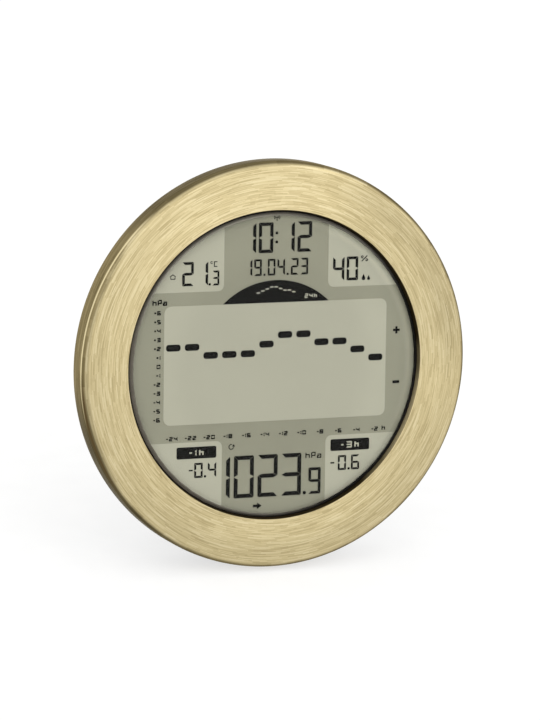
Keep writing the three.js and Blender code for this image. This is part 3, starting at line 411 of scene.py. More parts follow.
class Finish(Nodes):
    """A material under construction, with short names for what its nodes do."""

    def __init__(self, name, **settings):
        self.material = bpy.data.materials.new(name)
        self.material.use_nodes = True
        super().__init__(self.material.node_tree)
        self.surface = self.tree.nodes["Principled BSDF"]
        for socket, value in settings.items():
            self.surface.inputs[socket.replace("_", " ")].default_value = value

    def link(self, output, socket):
        self.tree.links.new(output, self.surface.inputs[socket])

    def place(self):
        """Place in the clock frame, in millimetres."""
        here = self.node("TexCoord").outputs["Object"]
        large = self.node("VectorMath", {0: here, "Scale": 1 / MM}, operation="SCALE").outputs[0]
        moved = self.node("VectorMath", {0: large, 1: CLOCK_PLACE}, operation="SUBTRACT").outputs[0]
        turn = {"Vector": moved, "Angle": LEAN}
        return self.node("VectorRotate", turn, rotation_type="X_AXIS").outputs[0]

    def split(self, vector):
        return self.node("SeparateXYZ", {0: vector}).outputs

    def join(self, x, y, z=0.0):
        return self.node("CombineXYZ", {0: x, 1: y, 2: z}).outputs[0]

    def polar(self):
        """Radius, depth and level in the clock frame, and the direction from its axis."""
        x, depth, z = self.split(self.place())
        flat = self.join(x, z)
        radius = self.node("VectorMath", {0: flat}, operation="LENGTH").outputs["Value"]
        return radius, depth, z, (self.math("DIVIDE", x, radius), self.math("DIVIDE", z, radius))

    def toward(self, direction, degrees, near, far):
        """Mask that is 1 within near degrees of an angle round the clock, and 0 beyond far."""
        turn = math.radians(degrees)
        across = self.product(direction[0], math.cos(turn))
        along = self.math("ADD", across, self.product(direction[1], math.sin(turn)))
        return self.rise(along, math.cos(math.radians(far)), math.cos(math.radians(near)))

    def tones(self, colour, way, along, span, table):
        """Colour darkened or lifted toward some angles, as painted shade and light, by shares that run
        over a span of along.
        """
        for angle, near, far, first, last in table:
            change = self.level(along, first - 1, last - 1, *span)
            change = self.product(self.toward(way, angle, near, far), change)
            colour = self.times(colour, self.math("ADD", change, 1.0))
        return colour

    def noise(self, vector, size, stretch=(1, 1, 1), detail=2.0, seed=(0, 0, 0)):
        """Noise whose features are about size millimetres, longer by stretch along each axis."""
        scale = tuple(1 / (size * share) for share in stretch)
        scaled = self.node("VectorMath", {0: vector, 1: scale}, operation="MULTIPLY").outputs[0]
        moved = self.node("VectorMath", {0: scaled, 1: seed}, operation="ADD").outputs[0]
        settings = {"Vector": moved, "Scale": 1.0, "Detail": detail}
        return self.node("TexNoise", settings).outputs["Fac"]

    def ramp(self, factor, stops, interpolation="LINEAR"):
        made = self.node("ValToRGB", {0: factor})
        made.color_ramp.interpolation = interpolation
        elements = made.color_ramp.elements
        while len(elements) < len(stops):
            elements.new(0.5)
        for element, (place, colour) in zip(elements, stops):
            element.position = place
            element.color = colour
        return made.outputs["Color"]

    def level(self, factor, low, high, start=0.0, end=1.0):
        """Factor mapped from start..end to low..high, and held there."""
        inputs = {0: factor, 1: start, 2: end, 3: low, 4: high}
        return self.node("MapRange", inputs, interpolation_type="SMOOTHSTEP").outputs[0]

    def rise(self, factor, start, end):
        """Mask that is 0 before start and 1 after end."""
        return self.level(factor, 0.0, 1.0, start, end)

    def fall(self, factor, start, end):
        """Mask that is 1 before start and 0 after end."""
        return self.level(factor, 1.0, 0.0, start, end)

    def band(self, factor, start, full, hold, end):
        """Mask that is 1 from full to hold, and 0 before start and after end."""
        return self.product(self.rise(factor, start, full), self.fall(factor, hold, end))

    def blend(self, factor, first, second, mode="MIX"):
        made = self.node("Mix", data_type="RGBA", blend_type=mode)
        for socket, value in ((0, factor), (6, first), (7, second)):
            self.feed(made.inputs[socket], value)
        return made.outputs[2]

    def times(self, colour, share):
        return self.blend(1.0, colour, share, "MULTIPLY")

    def softened(self, width):
        """Normal rounded over the edges, width in millimetres."""
        return self.node("Bevel", {"Radius": width * MM}, samples=BEVEL_SAMPLES).outputs[0]

    def rubbed(self, soft):
        """Mask that is 1 on edges, where the softened normal leaves the true one."""
        true = self.node("NewGeometry").outputs["Normal"]
        same = self.node("VectorMath", {0: soft, 1: true}, operation="DOT_PRODUCT").outputs["Value"]
        return self.fall(same, WORN_LIT_EDGE, 1.0)

    def bump(self, height, depth, normal=None, strength=1.0):
        """Relief of a height mask, depth in millimetres."""
        inputs = {"Height": height, "Distance": depth * MM, "Strength": strength}
        if normal is not None:
            inputs["Normal"] = normal
        self.link(self.node("Bump", inputs).outputs[0], "Normal")


def moulded(name, colour, roughness, grain=0.45, relief=0.02, edge_lift=1.35, edge=0.35):
    """Moulded plastic: fine grain, soft variation, and edges rubbed smoother and lighter, the lighter
    edges being wear and a painted edge highlight.
    """
    made = Finish(name)
    here = made.place()
    fine = made.noise(here, size=grain)
    body = made.ramp(made.noise(here, size=22, detail=3), shades(colour, 0.88, 1.12))
    body = made.times(body, made.level(fine, 0.86, 1.14, *NOISE_SPAN))
    soft = made.softened(edge)
    wear_patches = made.rise(made.noise(here, size=4), 0.35, 0.65)
    # Edges made lighter in patches: wear, and a painted edge highlight
    worn_and_lit = made.product(made.rubbed(soft), wear_patches)
    made.link(made.blend(worn_and_lit, body, shade(colour, edge_lift)), "Base Color")
    gloss_patches = made.noise(here, size=6, seed=(4, 1, 7))
    dull = made.level(gloss_patches, roughness - GLOSS_SPREAD, roughness + GLOSS_SPREAD, *NOISE_SPAN)
    made.link(made.math("SUBTRACT", dull, made.product(worn_and_lit, WORN_GLOSS)), "Roughness")
    made.bump(fine, relief, soft)
    return made.material


# Ring. An arc is an angle in degrees, 0 at the right and 90 at the top, with how far its mask holds and
# where it ends. Tones are painted light and shade: a span of radius or depth, and arcs with their
# shares at both its ends.
# Painted light and shade on the face: darker toward the upper right and the left, lighter toward the
# bottom
FACE_TONES = ((80, 92), [
    (33, 12, 42, 0.87, 0.8),
    (165, 15, 45, 0.96, 0.95),
    (280, 12, 45, 1.1, 1.04),
])
# Painted shade at the start of the rounded edge, at the left and upper left, that dims the lamps'
# highlight there
LEFT_TONES = ((95.6, 96.6), [(178, 24, 42, 1, 0.76)])
TOP_TONES = ((96.7, 97.4), [(128, 32, 55, 1, 0.74)])
# Painted light and shade on the side wall: lighter at the left, darker at the top and lower left
WALL_TONES = ((2.5, 6), [
    (110, 12, 32, 0.8, 0.76),
    (162, 10, 35, 1.25, 1.45),
    (216, 10, 36, 0.52, 0.42),
])
FACE_GOLD = [
    (0.28, rgb(190, 174, 130)), (0.44, rgb(208, 192, 147)),
    (0.56, rgb(217, 201, 155)), (0.72, rgb(230, 215, 172)),
]
# Side wall darker than the face: the gold's hairlines under painted shade, standing for a dark
# reflection
WALL_SHADE_GOLD = [(0.3, rgb(106, 95, 65)), (0.7, rgb(134, 121, 87))]

# Depths over which the face turns into the wall's painted shade, at the left and elsewhere
LEFT_ARC = (180, 20, 38)
LEFT_TURN = (0.02, 0.5)
OTHER_TURN = (0.12, 1.05)

# Painted highlight: a pale line on the rounded edge at the upper left, deeper lower down,
# and a painted shade line below it
HIGHLIGHT_ARC = (162, 22, 34)
HIGHLIGHT_SLANT = 0.8
HIGHLIGHT_BAND = (1.2, 1.4, 1.75, 2.1)
HIGHLIGHT_GOLD = rgb(226, 211, 168)
SHADE_LINE_ARC = (198, 8, 20)
SHADE_LINE_BAND = (0.5, 0.9, 1.4, 2.0)
SHADE_LINE_GOLD = rgb(88, 73, 47)

# Wall of the window: painted light at the right, painted shade elsewhere
THROAT_DEPTH = (0.1, 0.5)
THROAT_WIDE_ARC = (-22, 24, 31)
THROAT_LIT_ARC = (-22, 3, 21)
THROAT_SHADE_GOLD = rgb(58, 47, 26)
THROAT_HALF_LIT_GOLD = rgb(128, 116, 84)
THROAT_LIT_GOLD = rgb(200, 184, 142)


def brushed_gold():
    """Gold ring: hairlines brushed round the axis, a paler face, and painted light and shade: a darker
    fillet and side wall, tones by angle, a painted highlight and shade line on the rounded edge, and a
    window wall lit at the right.
    """
    made = Finish("brushed_gold", Specular_Tint=(0.7, 0.66, 0.58, 1))
    radius, depth, z, way = made.polar()
    along = made.math("SUBTRACT", radius, depth)
    around = made.math("DIVIDE", made.math("ARCTAN2", way[1], way[0]), 2 * math.pi)

    def hairlines(width, length, share):
        """Soft lines round the axis, over the face and down the wall."""
        turn = length / RING_RADIUS / width
        lines = made.noise(made.join(along, *way), width, stretch=(1, turn, turn), detail=0)
        return made.product(lines, share)

    def strokes(width, length, share, seed):
        """Short strokes beside each other, each with a tone and a start of its own."""
        line = made.math("FLOOR", made.math("DIVIDE", along, width))
        start = made.node("TexWhiteNoise", {"W": made.math("ADD", line, seed)}, noise_dimensions="1D")
        turn = made.math("FRACT", made.math("ADD", around, start.outputs["Value"]))
        cell = made.math("FLOOR", made.product(turn, 2 * math.pi * RING_RADIUS / length))
        tone = made.node("TexWhiteNoise", {"Vector": made.join(line, cell, seed)}).outputs["Value"]
        return made.product(tone, share)

    drawn = hairlines(width=0.4, length=26, share=0.52)
    short = strokes(width=0.42, length=8.3, share=0.27, seed=3)
    long = strokes(width=0.57, length=14.7, share=0.21, seed=8)
    lines = made.math("ADD", made.math("ADD", short, long), drawn)

    face = made.ramp(lines, FACE_GOLD)
    # Painted light and shade: face darker toward the bottom and a little toward the rim, and face and
    # wall tones by angle
    face = made.times(face, made.level(z, 0.8, 1.04, start=-95, end=95))
    face = made.times(face, made.level(radius, 1.0, 0.95, start=84, end=92))
    for tones in (FACE_TONES, LEFT_TONES, TOP_TONES):
        face = made.tones(face, way, radius, *tones)
    wall = made.tones(made.ramp(lines, WALL_SHADE_GOLD), way, depth, *WALL_TONES)

    # The fillet takes on the side wall's painted shade with depth, sooner at the left
    left = made.toward(way, *LEFT_ARC)
    turn_left = made.rise(depth, *LEFT_TURN)
    turn = made.rise(depth, *OTHER_TURN)
    turn = made.math("ADD", turn, made.product(left, made.math("SUBTRACT", turn_left, turn)))
    tone = made.blend(turn, face, wall)
    # Painted highlight on the rounded edge at the upper left
    run = made.math("ADD", depth, made.product(way[1], HIGHLIGHT_SLANT))
    highlight = made.product(made.band(run, *HIGHLIGHT_BAND), made.toward(way, *HIGHLIGHT_ARC))
    tone = made.blend(highlight, tone, HIGHLIGHT_GOLD)
    # Painted shade line on the rounded edge at the lower left
    shade_line = made.product(made.band(depth, *SHADE_LINE_BAND), made.toward(way, *SHADE_LINE_ARC))
    tone = made.blend(shade_line, tone, SHADE_LINE_GOLD)

    inside = made.math("LESS_THAN", radius, LIP_RADIUS)
    throat = made.product(inside, made.rise(depth, *THROAT_DEPTH))
    # The window wall's colour: painted light at the right and painted shade elsewhere
    bare = made.blend(made.toward(way, *THROAT_WIDE_ARC), THROAT_SHADE_GOLD, THROAT_HALF_LIT_GOLD)
    bare = made.blend(made.toward(way, *THROAT_LIT_ARC), bare, THROAT_LIT_GOLD)
    made.link(made.blend(throat, tone, bare), "Base Color")
    made.link(made.level(throat, 1.0, 0.1), "Metallic")
    made.link(made.level(lines, 0.5, 0.34, *NOISE_SPAN), "Roughness")
    made.bump(drawn, depth=0.02, strength=0.6)
    return made.material


# Nose of the front housing: its radii and depths, the radii over which its bevel changes tone, and arcs
# of painted light at the top and lower left and of painted shade at the right
NOSE_RADIUS = (72.9, 73.1)
NOSE_DEPTH = (2.4, 2.6)
NOSE_BEVEL = (73.2, 74.6)
NOSE_LIT_TOP_ARC = (135, 20, 65)
NOSE_LIT_LOWER_ARC = (205, 25, 55)
NOSE_SHADE_ARC = (-20, 40, 85)


def trim_black():
    """Front housing: black plastic, with painted light and shade on the bevel of the nose that frames
    the lens: grey where lit, with darker worn patches, and black where shaded at the right.
    """
    made = Finish("trim_black", Specular_IOR_Level=0.1)
    radius, depth, _, way = made.polar()
    nose = made.product(made.rise(radius, *NOSE_RADIUS), made.fall(depth, *NOSE_DEPTH))
    here = made.place()
    grain = made.noise(here, size=0.4)
    body = made.ramp(made.noise(here, size=18), [(0.3, rgb(22, 21, 20)), (0.7, rgb(30, 29, 27))])
    outward = made.rise(radius, *NOSE_BEVEL)
    # Painted light on the nose's bevel: grey, palest toward the top and the lower left
    inner = made.blend(made.toward(way, *NOSE_LIT_TOP_ARC), rgb(112, 109, 100), rgb(160, 157, 144))
    upper = made.blend(outward, inner, rgb(112, 107, 98))
    lower = made.blend(outward, rgb(116, 111, 100), rgb(165, 158, 144))
    pale = made.blend(made.toward(way, *NOSE_LIT_LOWER_ARC), upper, lower)
    worn_and_lit = made.blend(made.level(grain, 0.0, 0.4, start=0.4, end=0.7), pale, rgb(84, 80, 74))
    # Painted shade: the bevel black at the right
    edge = made.blend(made.toward(way, *NOSE_SHADE_ARC), worn_and_lit, rgb(9, 8, 6))
    made.link(made.blend(nose, body, edge), "Base Color")
    made.link(made.level(grain, 0.5, 0.62, *NOISE_SPAN), "Roughness")
    made.bump(grain, depth=0.01)
    return made.material


# Display: painted light that lifts its tone away from the middle and near the right rim, against the
# shade of the deep window
PAINTED_OUTER_LIFT = 1.065
OUTER_RADII = (42, 58)
PAINTED_RIM_LIFT = 1.45
RIM_RADII = (67, 74)
RIM_ARC = (35, 20, 95)


def display_print(name, colour, roughness=0.45):
    """Ink or polarised film on the display: even, with a trace of grain, and painted light that makes it
    paler away from the middle and at the right rim.
    """
    made = Finish(name, Specular_IOR_Level=0.05)
    radius, _, _, way = made.polar()
    here = made.place()
    cloud = made.noise(here, size=30, detail=1)
    grain = made.noise(here, size=0.5, detail=1)
    tone = made.ramp(cloud, shades(colour, 0.97, 1.03))
    speck = made.ramp(grain, shades(colour, 0.96, 1.04, span=(0.35, 0.65)))
    # Painted light away from the middle and near the right rim, against the shade of the window's wall
    rim = made.product(made.rise(radius, *RIM_RADII), made.toward(way, *RIM_ARC))
    outer_light = made.level(radius, 1.0, PAINTED_OUTER_LIFT, *OUTER_RADII)
    painted_light = made.product(made.level(rim, 1.0, PAINTED_RIM_LIFT), outer_light)
    made.link(made.times(made.blend(0.5, tone, speck), painted_light), "Base Color")
    made.link(made.level(grain, roughness - 0.05, roughness + 0.05, *NOISE_SPAN), "Roughness")
    made.bump(grain, depth=0.004)
    return made.material


def clear_pane(name, tint, gloss):
    """Thin clear pane: lets light straight through and mirrors a little of the room."""
    made = Finish(name)
    made.tree.nodes.remove(made.surface)
    haze = made.noise(made.place(), size=9)
    through = made.node("BsdfTransparent", {"Color": tint}).outputs[0]
    mirror = made.node("BsdfGlossy", {"Roughness": made.level(haze, 0.03, 0.08)}).outputs[0]
    facing = made.node("LayerWeight", {"Blend": 0.5}).outputs["Facing"]
    edge = made.level(facing, gloss, 0.2, start=0.1, end=0.9)
    mix = made.node("MixShader", {0: edge, 1: through, 2: mirror}).outputs[0]
    made.tree.links.new(mix, made.tree.nodes["Material Output"].inputs["Surface"])
    return made.material


def bare_metal(name, colour, roughness=0.32):
    """Small metal part: drawn or turned surface with fine lines and dull patches."""
    made = Finish(name, Metallic=1.0)
    here = made.place()
    lines = made.noise(here, size=0.25, stretch=(8, 1, 1), detail=3)
    dull = made.noise(here, size=3)
    tone = made.ramp(lines, shades(colour, 0.82, 1.1, span=(0.35, 0.65)))
    patch = made.level(dull, 0.0, 0.4, start=0.5, end=0.8)
    made.link(made.blend(patch, tone, shade(colour, 0.6)), "Base Color")
    made.link(made.level(dull, roughness - 0.08, roughness + 0.14, *NOISE_SPAN), "Roughness")
    made.bump(lines, depth=0.01, normal=made.softened(0.15))
    return made.material


def circuit_board():
    """Green solder mask over faint copper tracks, with tinned pads."""
    made = Finish("circuit_board", Roughness=0.35)
    here = made.place()
    x, _, z = made.split(here)
    flat = made.join(x, z)
    tracks = made.node("TexBrick", {
        "Vector": flat, "Scale": 1.0, "Mortar Size": 0.14, "Brick Width": 9.0, "Row Height": 1.9,
        "Color1": rgb(38, 92, 58), "Color2": rgb(32, 80, 50), "Mortar": rgb(58, 122, 76),
    })
    cells = made.node("TexVoronoi", {"Vector": flat, "Scale": 0.16}, feature="F1").outputs["Distance"]
    pad = made.fall(cells, 0.09, 0.11)
    made.link(made.blend(pad, tracks.outputs["Color"], rgb(190, 188, 178)), "Base Color")
    made.link(made.level(made.noise(here, size=2), 0.28, 0.45), "Roughness")
    made.bump(tracks.outputs["Fac"], depth=0.03)
    return made.material


WIRE_RADIUS = 0.22


def wound_copper():
    """Enamelled wire in close turns along the rod, each turn painted dark at its edges and pale along
    its middle as shade and light of the round wire.
    """
    made = Finish("wound_copper", Metallic=0.85)
    here = made.place()
    _, _, z = made.split(here)
    turns = made.math("PINGPONG", z, WIRE_RADIUS)
    # Painted shade between the turns and painted light along their middles
    stops = [(0.0, rgb(96, 48, 24)), (1.0, rgb(196, 118, 70))]
    tone = made.ramp(made.rise(turns, 0.0, WIRE_RADIUS), stops)
    dark = made.level(made.noise(here, size=5), 0.0, 0.35, start=0.45, end=0.7)
    made.link(made.blend(dark, tone, rgb(120, 60, 30)), "Base Color")
    made.link(made.level(made.noise(here, size=1), 0.3, 0.45), "Roughness")
    made.bump(turns, depth=0.25)
    return made.material


# Cell: its length, how far its bare ends reach from the plus end, and the colours along it
CELL_LENGTH = 50.5
CELL_PLUS_END = (1.4, 1.5)
CELL_MINUS_END = (49.7, 49.8)
CELL_STEEL = rgb(176, 178, 180)
CELL_PALE = rgb(214, 210, 198)
CELL_BANDS = [
    (0.0, CELL_STEEL), (0.03, CELL_PALE), (0.27, rgb(40, 66, 104)),
    (0.3, CELL_PALE), (0.315, rgb(46, 76, 118)), (0.985, CELL_STEEL),
]


def cell_jacket(name, plus_x, way):
    """Printed jacket of a cell: bare ends, a pale band at the plus end and a plain body."""
    made = Finish(name, Roughness=0.3)
    here = made.place()
    x, _, _ = made.split(here)
    from_plus = made.product(made.math("SUBTRACT", x, plus_x), way)
    bands = made.ramp(made.math("DIVIDE", from_plus, CELL_LENGTH), CELL_BANDS, "CONSTANT")
    scuffs = made.noise(here, size=1.2, stretch=(6, 1, 1), detail=3)
    rub = made.level(scuffs, 0.0, 0.3, start=0.6, end=0.8)
    made.link(made.blend(rub, bands, rgb(150, 152, 156)), "Base Color")
    plus_end = made.fall(from_plus, *CELL_PLUS_END)
    bare = made.math("MAXIMUM", plus_end, made.rise(from_plus, *CELL_MINUS_END))
    made.link(made.level(bare, 0.1, 0.95), "Metallic")
    made.link(made.level(made.noise(here, size=2), 0.25, 0.38), "Roughness")
    made.bump(made.noise(here, size=0.8), depth=0.01)
    return made.material


def reflector_film():
    """Pale metallised film behind the display, with fine upright streaks."""
    made = Finish("reflector_film", Metallic=0.6)
    foil = made.noise(made.place(), size=1.5, stretch=(1, 1, 6), detail=3)
    made.link(made.ramp(foil, [(0.3, rgb(190, 191, 178)), (0.7, rgb(214, 215, 202))]), "Base Color")
    made.link(made.level(foil, 0.25, 0.4), "Roughness")
    made.bump(foil, depth=0.01)
    return made.material


def pale_floor():
    """Pale floor that shows the object's soft shadow and runs out into the white background."""
    made = Finish("pale_floor", Roughness=0.9, Specular_IOR_Level=0.0, Emission_Color=(1, 1, 1, 1))
    here = made.node("TexCoord").outputs["Object"]
    paper = made.node("TexNoise", {"Vector": here, "Scale": 60.0, "Detail": 3.0}).outputs["Fac"]
    made.link(made.ramp(paper, [(0.3, rgb(166, 166, 165)), (0.7, rgb(171, 171, 170))]), "Base Color")
    made.link(made.product(made.sight(), FLOOR_GLOW), "Emission Strength")
    return made.material


# Room

def add_world():
    """White for what the camera, metal and glass see, and the room's level on the object."""
    world = bpy.data.worlds.new("room")
    world.use_nodes = True
    nodes = Nodes(world.node_tree)
    background = nodes.tree.nodes["Background"].inputs
    strength = nodes.node("MapRange", {"Value": nodes.sight(), "To Min": ROOM_LEVEL, "To Max": 1.0})
    nodes.feed(background["Color"], (1, 1, 1, 1))
    nodes.feed(background["Strength"], strength.outputs[0])
    SCENE.world = world


def add_lamps():
    for name, place, size, watts in LAMPS:
        data = bpy.data.lights.new(name, "AREA")
        data.shape = "DISK"
        data.size = size
        data.energy = watts
        lamp = bpy.data.objects.new(name, data)
        lamp.location = place
        lamp.rotation_euler = (LAMP_AIM - Vector(place)).to_track_quat("-Z", "Y").to_euler()
        SCENE.collection.objects.link(lamp)


def add_floor():
    work = bmesh.new()
    bmesh.ops.create_circle(work, cap_ends=True, segments=FLOOR_SEGMENTS, radius=FLOOR_RADIUS)
    mesh = bpy.data.meshes.new("floor")
    work.to_mesh(mesh)
    work.free()
    mesh.materials.append(pale_floor())
    floor = bpy.data.objects.new("floor", mesh)
    floor.location.z = -FLOOR_DROP
    SCENE.collection.objects.link(floor)


def add_ring():
    profile = rounded([
        (WINDOW_RADIUS, 0, WINDOW_EDGE),
        (RING_RADIUS, 0, RING_EDGE),
        (RING_RADIUS, RING_DEPTH, RING_HEM),
        (RING_RADIUS - RING_WALL, RING_DEPTH, 0),
        (RING_RADIUS - RING_WALL, RING_WALL, RING_EDGE - RING_WALL),
        (LIP_RADIUS, RING_WALL, 0),
        (LIP_RADIUS, LIP_DEPTH, 0),
        (THROAT_RADIUS, LIP_DEPTH, 0),
        (WINDOW_RADIUS, WINDOW_EDGE * 2, 0),
    ], FILLET_STEPS)
    ring = add_piece("ring", *lathe(profile, RING_SEGMENTS), "ring_metal", brushed_gold())
    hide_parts("bezel_ring")


# Artwork of the display, in millimetres from its centre. Sizes of boxes are width, height and corner.

ARTWORK_SHIFT = (-0.31, 0.1)
ARTWORK_RADIUS = 76.1

# Pale panel of the history as left, right, bottom and top, and pale blocks in the corners
PANEL = (-56.1, 59.4, -27.85, 30.2)
PANEL_CORNER = 3.4
BLOCK_EDGES = (-25.8, 28.3)
BLOCK_LEVELS = (-36.5, 36.8)
BLOCK_CORNER = 3.0
BLOCK_CORNER_STEPS = 5
BLOCK_RIM_STEP = math.radians(3)

# History: centres of the bars, and the scales at the left of the panel and below it
BARS = [
    (-51.4, 10.0), (-41.8, 10.0), (-32.2, 5.7), (-22.6, 5.7), (-13.0, 5.7), (-3.4, 10.0),
    (6.2, 14.3), (15.8, 14.3), (25.3, 10.0), (34.8, 10.0), (44.3, 5.7), (53.9, 1.3),
]
BAR_SIZE = (7.45, 3.3, 1.35)
SCALE_STEPS = range(6, -7, -1)
SCALE_RIGHT = -57.9
SCALE_TOP = 27.24
SCALE_PITCH = 4.345
HOURS = range(-24, 0, 2)
HOUR_LEFT = -51.7
HOUR_PITCH = 9.63
HOUR_LEVEL = -34.4
SMALL_HEIGHT = 2.1
SMALL_STROKE = 0.58
SMALL_WIDTH = 0.93
PLUS_SIGN = (64.87, 14.3, 3.6, 1.1)  # centre, size and stroke
MINUS_SIGN = (65.1, -11.5, 3.6, 1.4)  # centre, width and height

# Values: digits with their left edges, then bottom, width, height and stroke
TIME_ROWS = [
    ([("1", -16.95), ("0", -8.1), ("1", 3.0), ("2", 12.0)], 54.6, 7.5, 14.8, 1.6),
    ([("1", -15.2), ("9", -10.3), ("0", -3.25), ("4", 1.75), ("2", 8.75), ("3", 13.8)],
     43.5, 3.9, 8.1, 0.95),
]
INDOOR_ROWS = [
    ([("2", -47.2), ("1", -39.8)], 39.8, 5.8, 11.65, 1.3),
    ([("3", -31.75)], 39.7, 3.5, 7.2, 0.95),
    ([("4", 30.75), ("0", 37.95)], 39.7, 6.0, 11.7, 1.35),
]
PRESSURE_ROWS = [
    ([("1", -31.85), ("0", -19.45), ("2", -7.05), ("3", 5.35)], -65.3, 10.35, 20.85, 2.0),
    ([("9", 19.6)], -65.2, 6.4, 13.1, 1.4),
]

# Points between digits: centre, size and corner
TIME_POINTS = [
    (1.2, 64.2, 1.3, 0.3), (1.2, 59.8, 1.3, 0.3), (-4.95, 44.0, 1.0, 0.2), (7.07, 44.0, 1.0, 0.2),
]
TEMPERATURE_POINT = (-33.15, 40.3, 1.1, 0.2)
PRESSURE_POINT = (17.55, -64.4, 1.6, 0.5)

# Changes of pressure: tenths, and where the dash, the first digit, the point and the tenths stand
CHANGES = [("4", -42.6, -40.0, -34.4, -33.0), ("6", 31.3, 35.0, 40.75, 41.95)]
CHANGE_DIGITS = (-54.15, 4.35, 7.4, 1.0)
CHANGE_DASH = (-0.2, 1.85, -50.7, -50.0)
CHANGE_POINT = (-53.55, 1.15, 0.3)

# Units: text, left, bottom, height and stroke, and some with a space and a digits' width
HOUR_UNIT = ("h", 57.9, -35.4, 2.6, 0.55)
SCALE_UNIT = ("hPa", -62.3, 30.7, 3.0, 0.62, 0.17)
CELSIUS_UNIT = ("C", -31.05, 48.7, 2.7, 0.42)
PRESSURE_UNIT = ("hPa", 17.85, -47.5, 3.15, 0.52)
SPAN_UNIT = ("24h", 16.1, 31.9, 2.15, 0.5, 0.28, 0.85)

# Open rings of the degree and percent signs: centre, radius, start, end and steps, then stroke
SIGN_RINGS = [
    ((-32.25, 50.85, 0.5, 20, 340, 12), 0.3),
    ((46.1, 51.0, 0.5, 0, 330, 12), 0.42), ((48.4, 49.5, 0.5, 180, 510, 12), 0.42),
]
PERCENT_LINE = ([(45.8, 48.9), (48.7, 51.6)], 0.5)

# Radio signal: point, mast, and arcs to both sides by radii, stroke, steps and reach in degrees
RADIO_POINT = (1.2, 71.75, 0.7, 0.2)
RADIO_MAST = ([(1.2, 70.05), (1.2, 71.3)], 0.4)
RADIO_ARCS = ((0.85, 1.45), 0.3, 6)
WAVE_REACH = 38

# Pictograms, drawn from their own origins. Turns are a start and end in degrees, and steps.
HOUSE_PLACE = (-52.0, 43.4)
HOUSE_ROOF = [(-1.5, 1.1), (0, 2.2), (1.5, 1.1)]
HOUSE_WALLS = [(-1.05, 0.95), (-1.05, 0), (1.05, 0), (1.05, 0.95)]
HOUSE_STROKE = 0.38
DROPS = [(46.9, 40.5, 0.95), (49.6, 40.3, 0.75)]
DROP_TIP = 2.3
DROP_BOWL_TURN = (205, 335, 10)
DROP_RIGHT_TURN = (335, 390, 4)
DROP_LEFT_TURN = (150, 205, 4)
LOOP = (-21.0, -39.75, 1.2, 0.42)
LOOP_TURN = (75, 350, 20)
LOOP_HEAD = [(-0.8, 0.1), (0.8, 0.1), (0, 1.3)]
TREND_ARROW = [
    (-9.35, -70.25), (-7.2, -70.25), (-7.2, -71.2), (-4.75, -69.6),
    (-7.2, -68.0), (-7.2, -68.95), (-9.35, -68.95),
]

# Dark fields with pale marks: the lozenge over the panel with a stepped trace, and two tags
LOZENGE_MIDDLE = 1.3
LOZENGE_BOTTOM = 30.25
LOZENGE_HALF = 27.4
LOZENGE_RISE = 10.95
LOZENGE_STEPS = 48
TRACE_LEVELS = (35.2, 36.1, 37.0, 37.9, 37.9, 37.0, 36.1, 36.1, 35.2)
TRACE_LEFT = -8.0
TRACE_PITCH = 2.3
TRACE_STEP = (1.75, 0.62, 0.2)
TAGS = [("-1h", -38.95, -41.7), ("-3h", 41.2, -41.55)]
TAG_SIZE = (20.5, 5.8, 0.8)
TAG_TEXT = {"height": 3.2, "stroke": 0.68, "space": 0.42, "digit_width": 0.95}


def corner_block(edge, level):
    """Pale block in one corner of the display, cut by the round window."""
    side = math.copysign(1, edge)
    end = math.copysign(1, level)
    turn = math.atan2(level, math.sqrt(ARTWORK_RADIUS ** 2 - level ** 2) * side)
    other = math.atan2(math.sqrt(ARTWORK_RADIUS ** 2 - edge ** 2) * end, edge)
    sweep = (other - turn + math.pi) % (2 * math.pi) - math.pi
    steps = max(2, round(abs(sweep) / BLOCK_RIM_STEP))
    angles = [turn + sweep * step / steps for step in range(steps + 1)]
    rim = [(ARTWORK_RADIUS * math.cos(angle), ARTWORK_RADIUS * math.sin(angle), 0) for angle in angles]
    return rounded([(edge, level, BLOCK_CORNER), *rim], BLOCK_CORNER_STEPS)


def light_shapes():
    blocks = [corner_block(edge, level) for edge in BLOCK_EDGES for level in BLOCK_LEVELS]
    return [box(*PANEL, PANEL_CORNER), *blocks]


def scale_numbers():
    """Pressure steps at the left of the panel, hours below it, plus and minus at the right."""
    shapes = []
    size = {"height": SMALL_HEIGHT, "stroke": SMALL_STROKE, "digit_width": SMALL_WIDTH}
    for index, value in enumerate(SCALE_STEPS):
        text = f"{value:+d}" if value else "0"
        _, width = write(text, 0, 0, **size)
        bottom = SCALE_TOP - index * SCALE_PITCH - SMALL_HEIGHT / 2
        shapes += write(text, SCALE_RIGHT - width, bottom, **size)[0]
    for index, hour in enumerate(HOURS):
        shapes += write_centred(str(hour), HOUR_LEFT + index * HOUR_PITCH, HOUR_LEVEL, **size)
    shapes += write(*HOUR_UNIT)[0] + write(*SCALE_UNIT)[0]
    return [*shapes, cross(*PLUS_SIGN), box_at(*MINUS_SIGN)]


def dot(x, z, size, corner):
    return box_at(x, z, size, size, corner)


def waves(x, z, reaches, stroke, steps):
    """Radio arcs to both sides of a point."""
    return [
        ribbon(arc(x, z, reach, turn - WAVE_REACH, turn + WAVE_REACH, steps), stroke)
        for reach in reaches for turn in (0, 180)
    ]


def time_and_date():
    """Time 10:12 over the date, with the radio signal's mark above."""
    points = [dot(*point) for point in (*TIME_POINTS, RADIO_POINT)]
    signal = [ribbon(*RADIO_MAST), *waves(*RADIO_POINT[:2], *RADIO_ARCS)]
    return rows(*TIME_ROWS) + points + signal


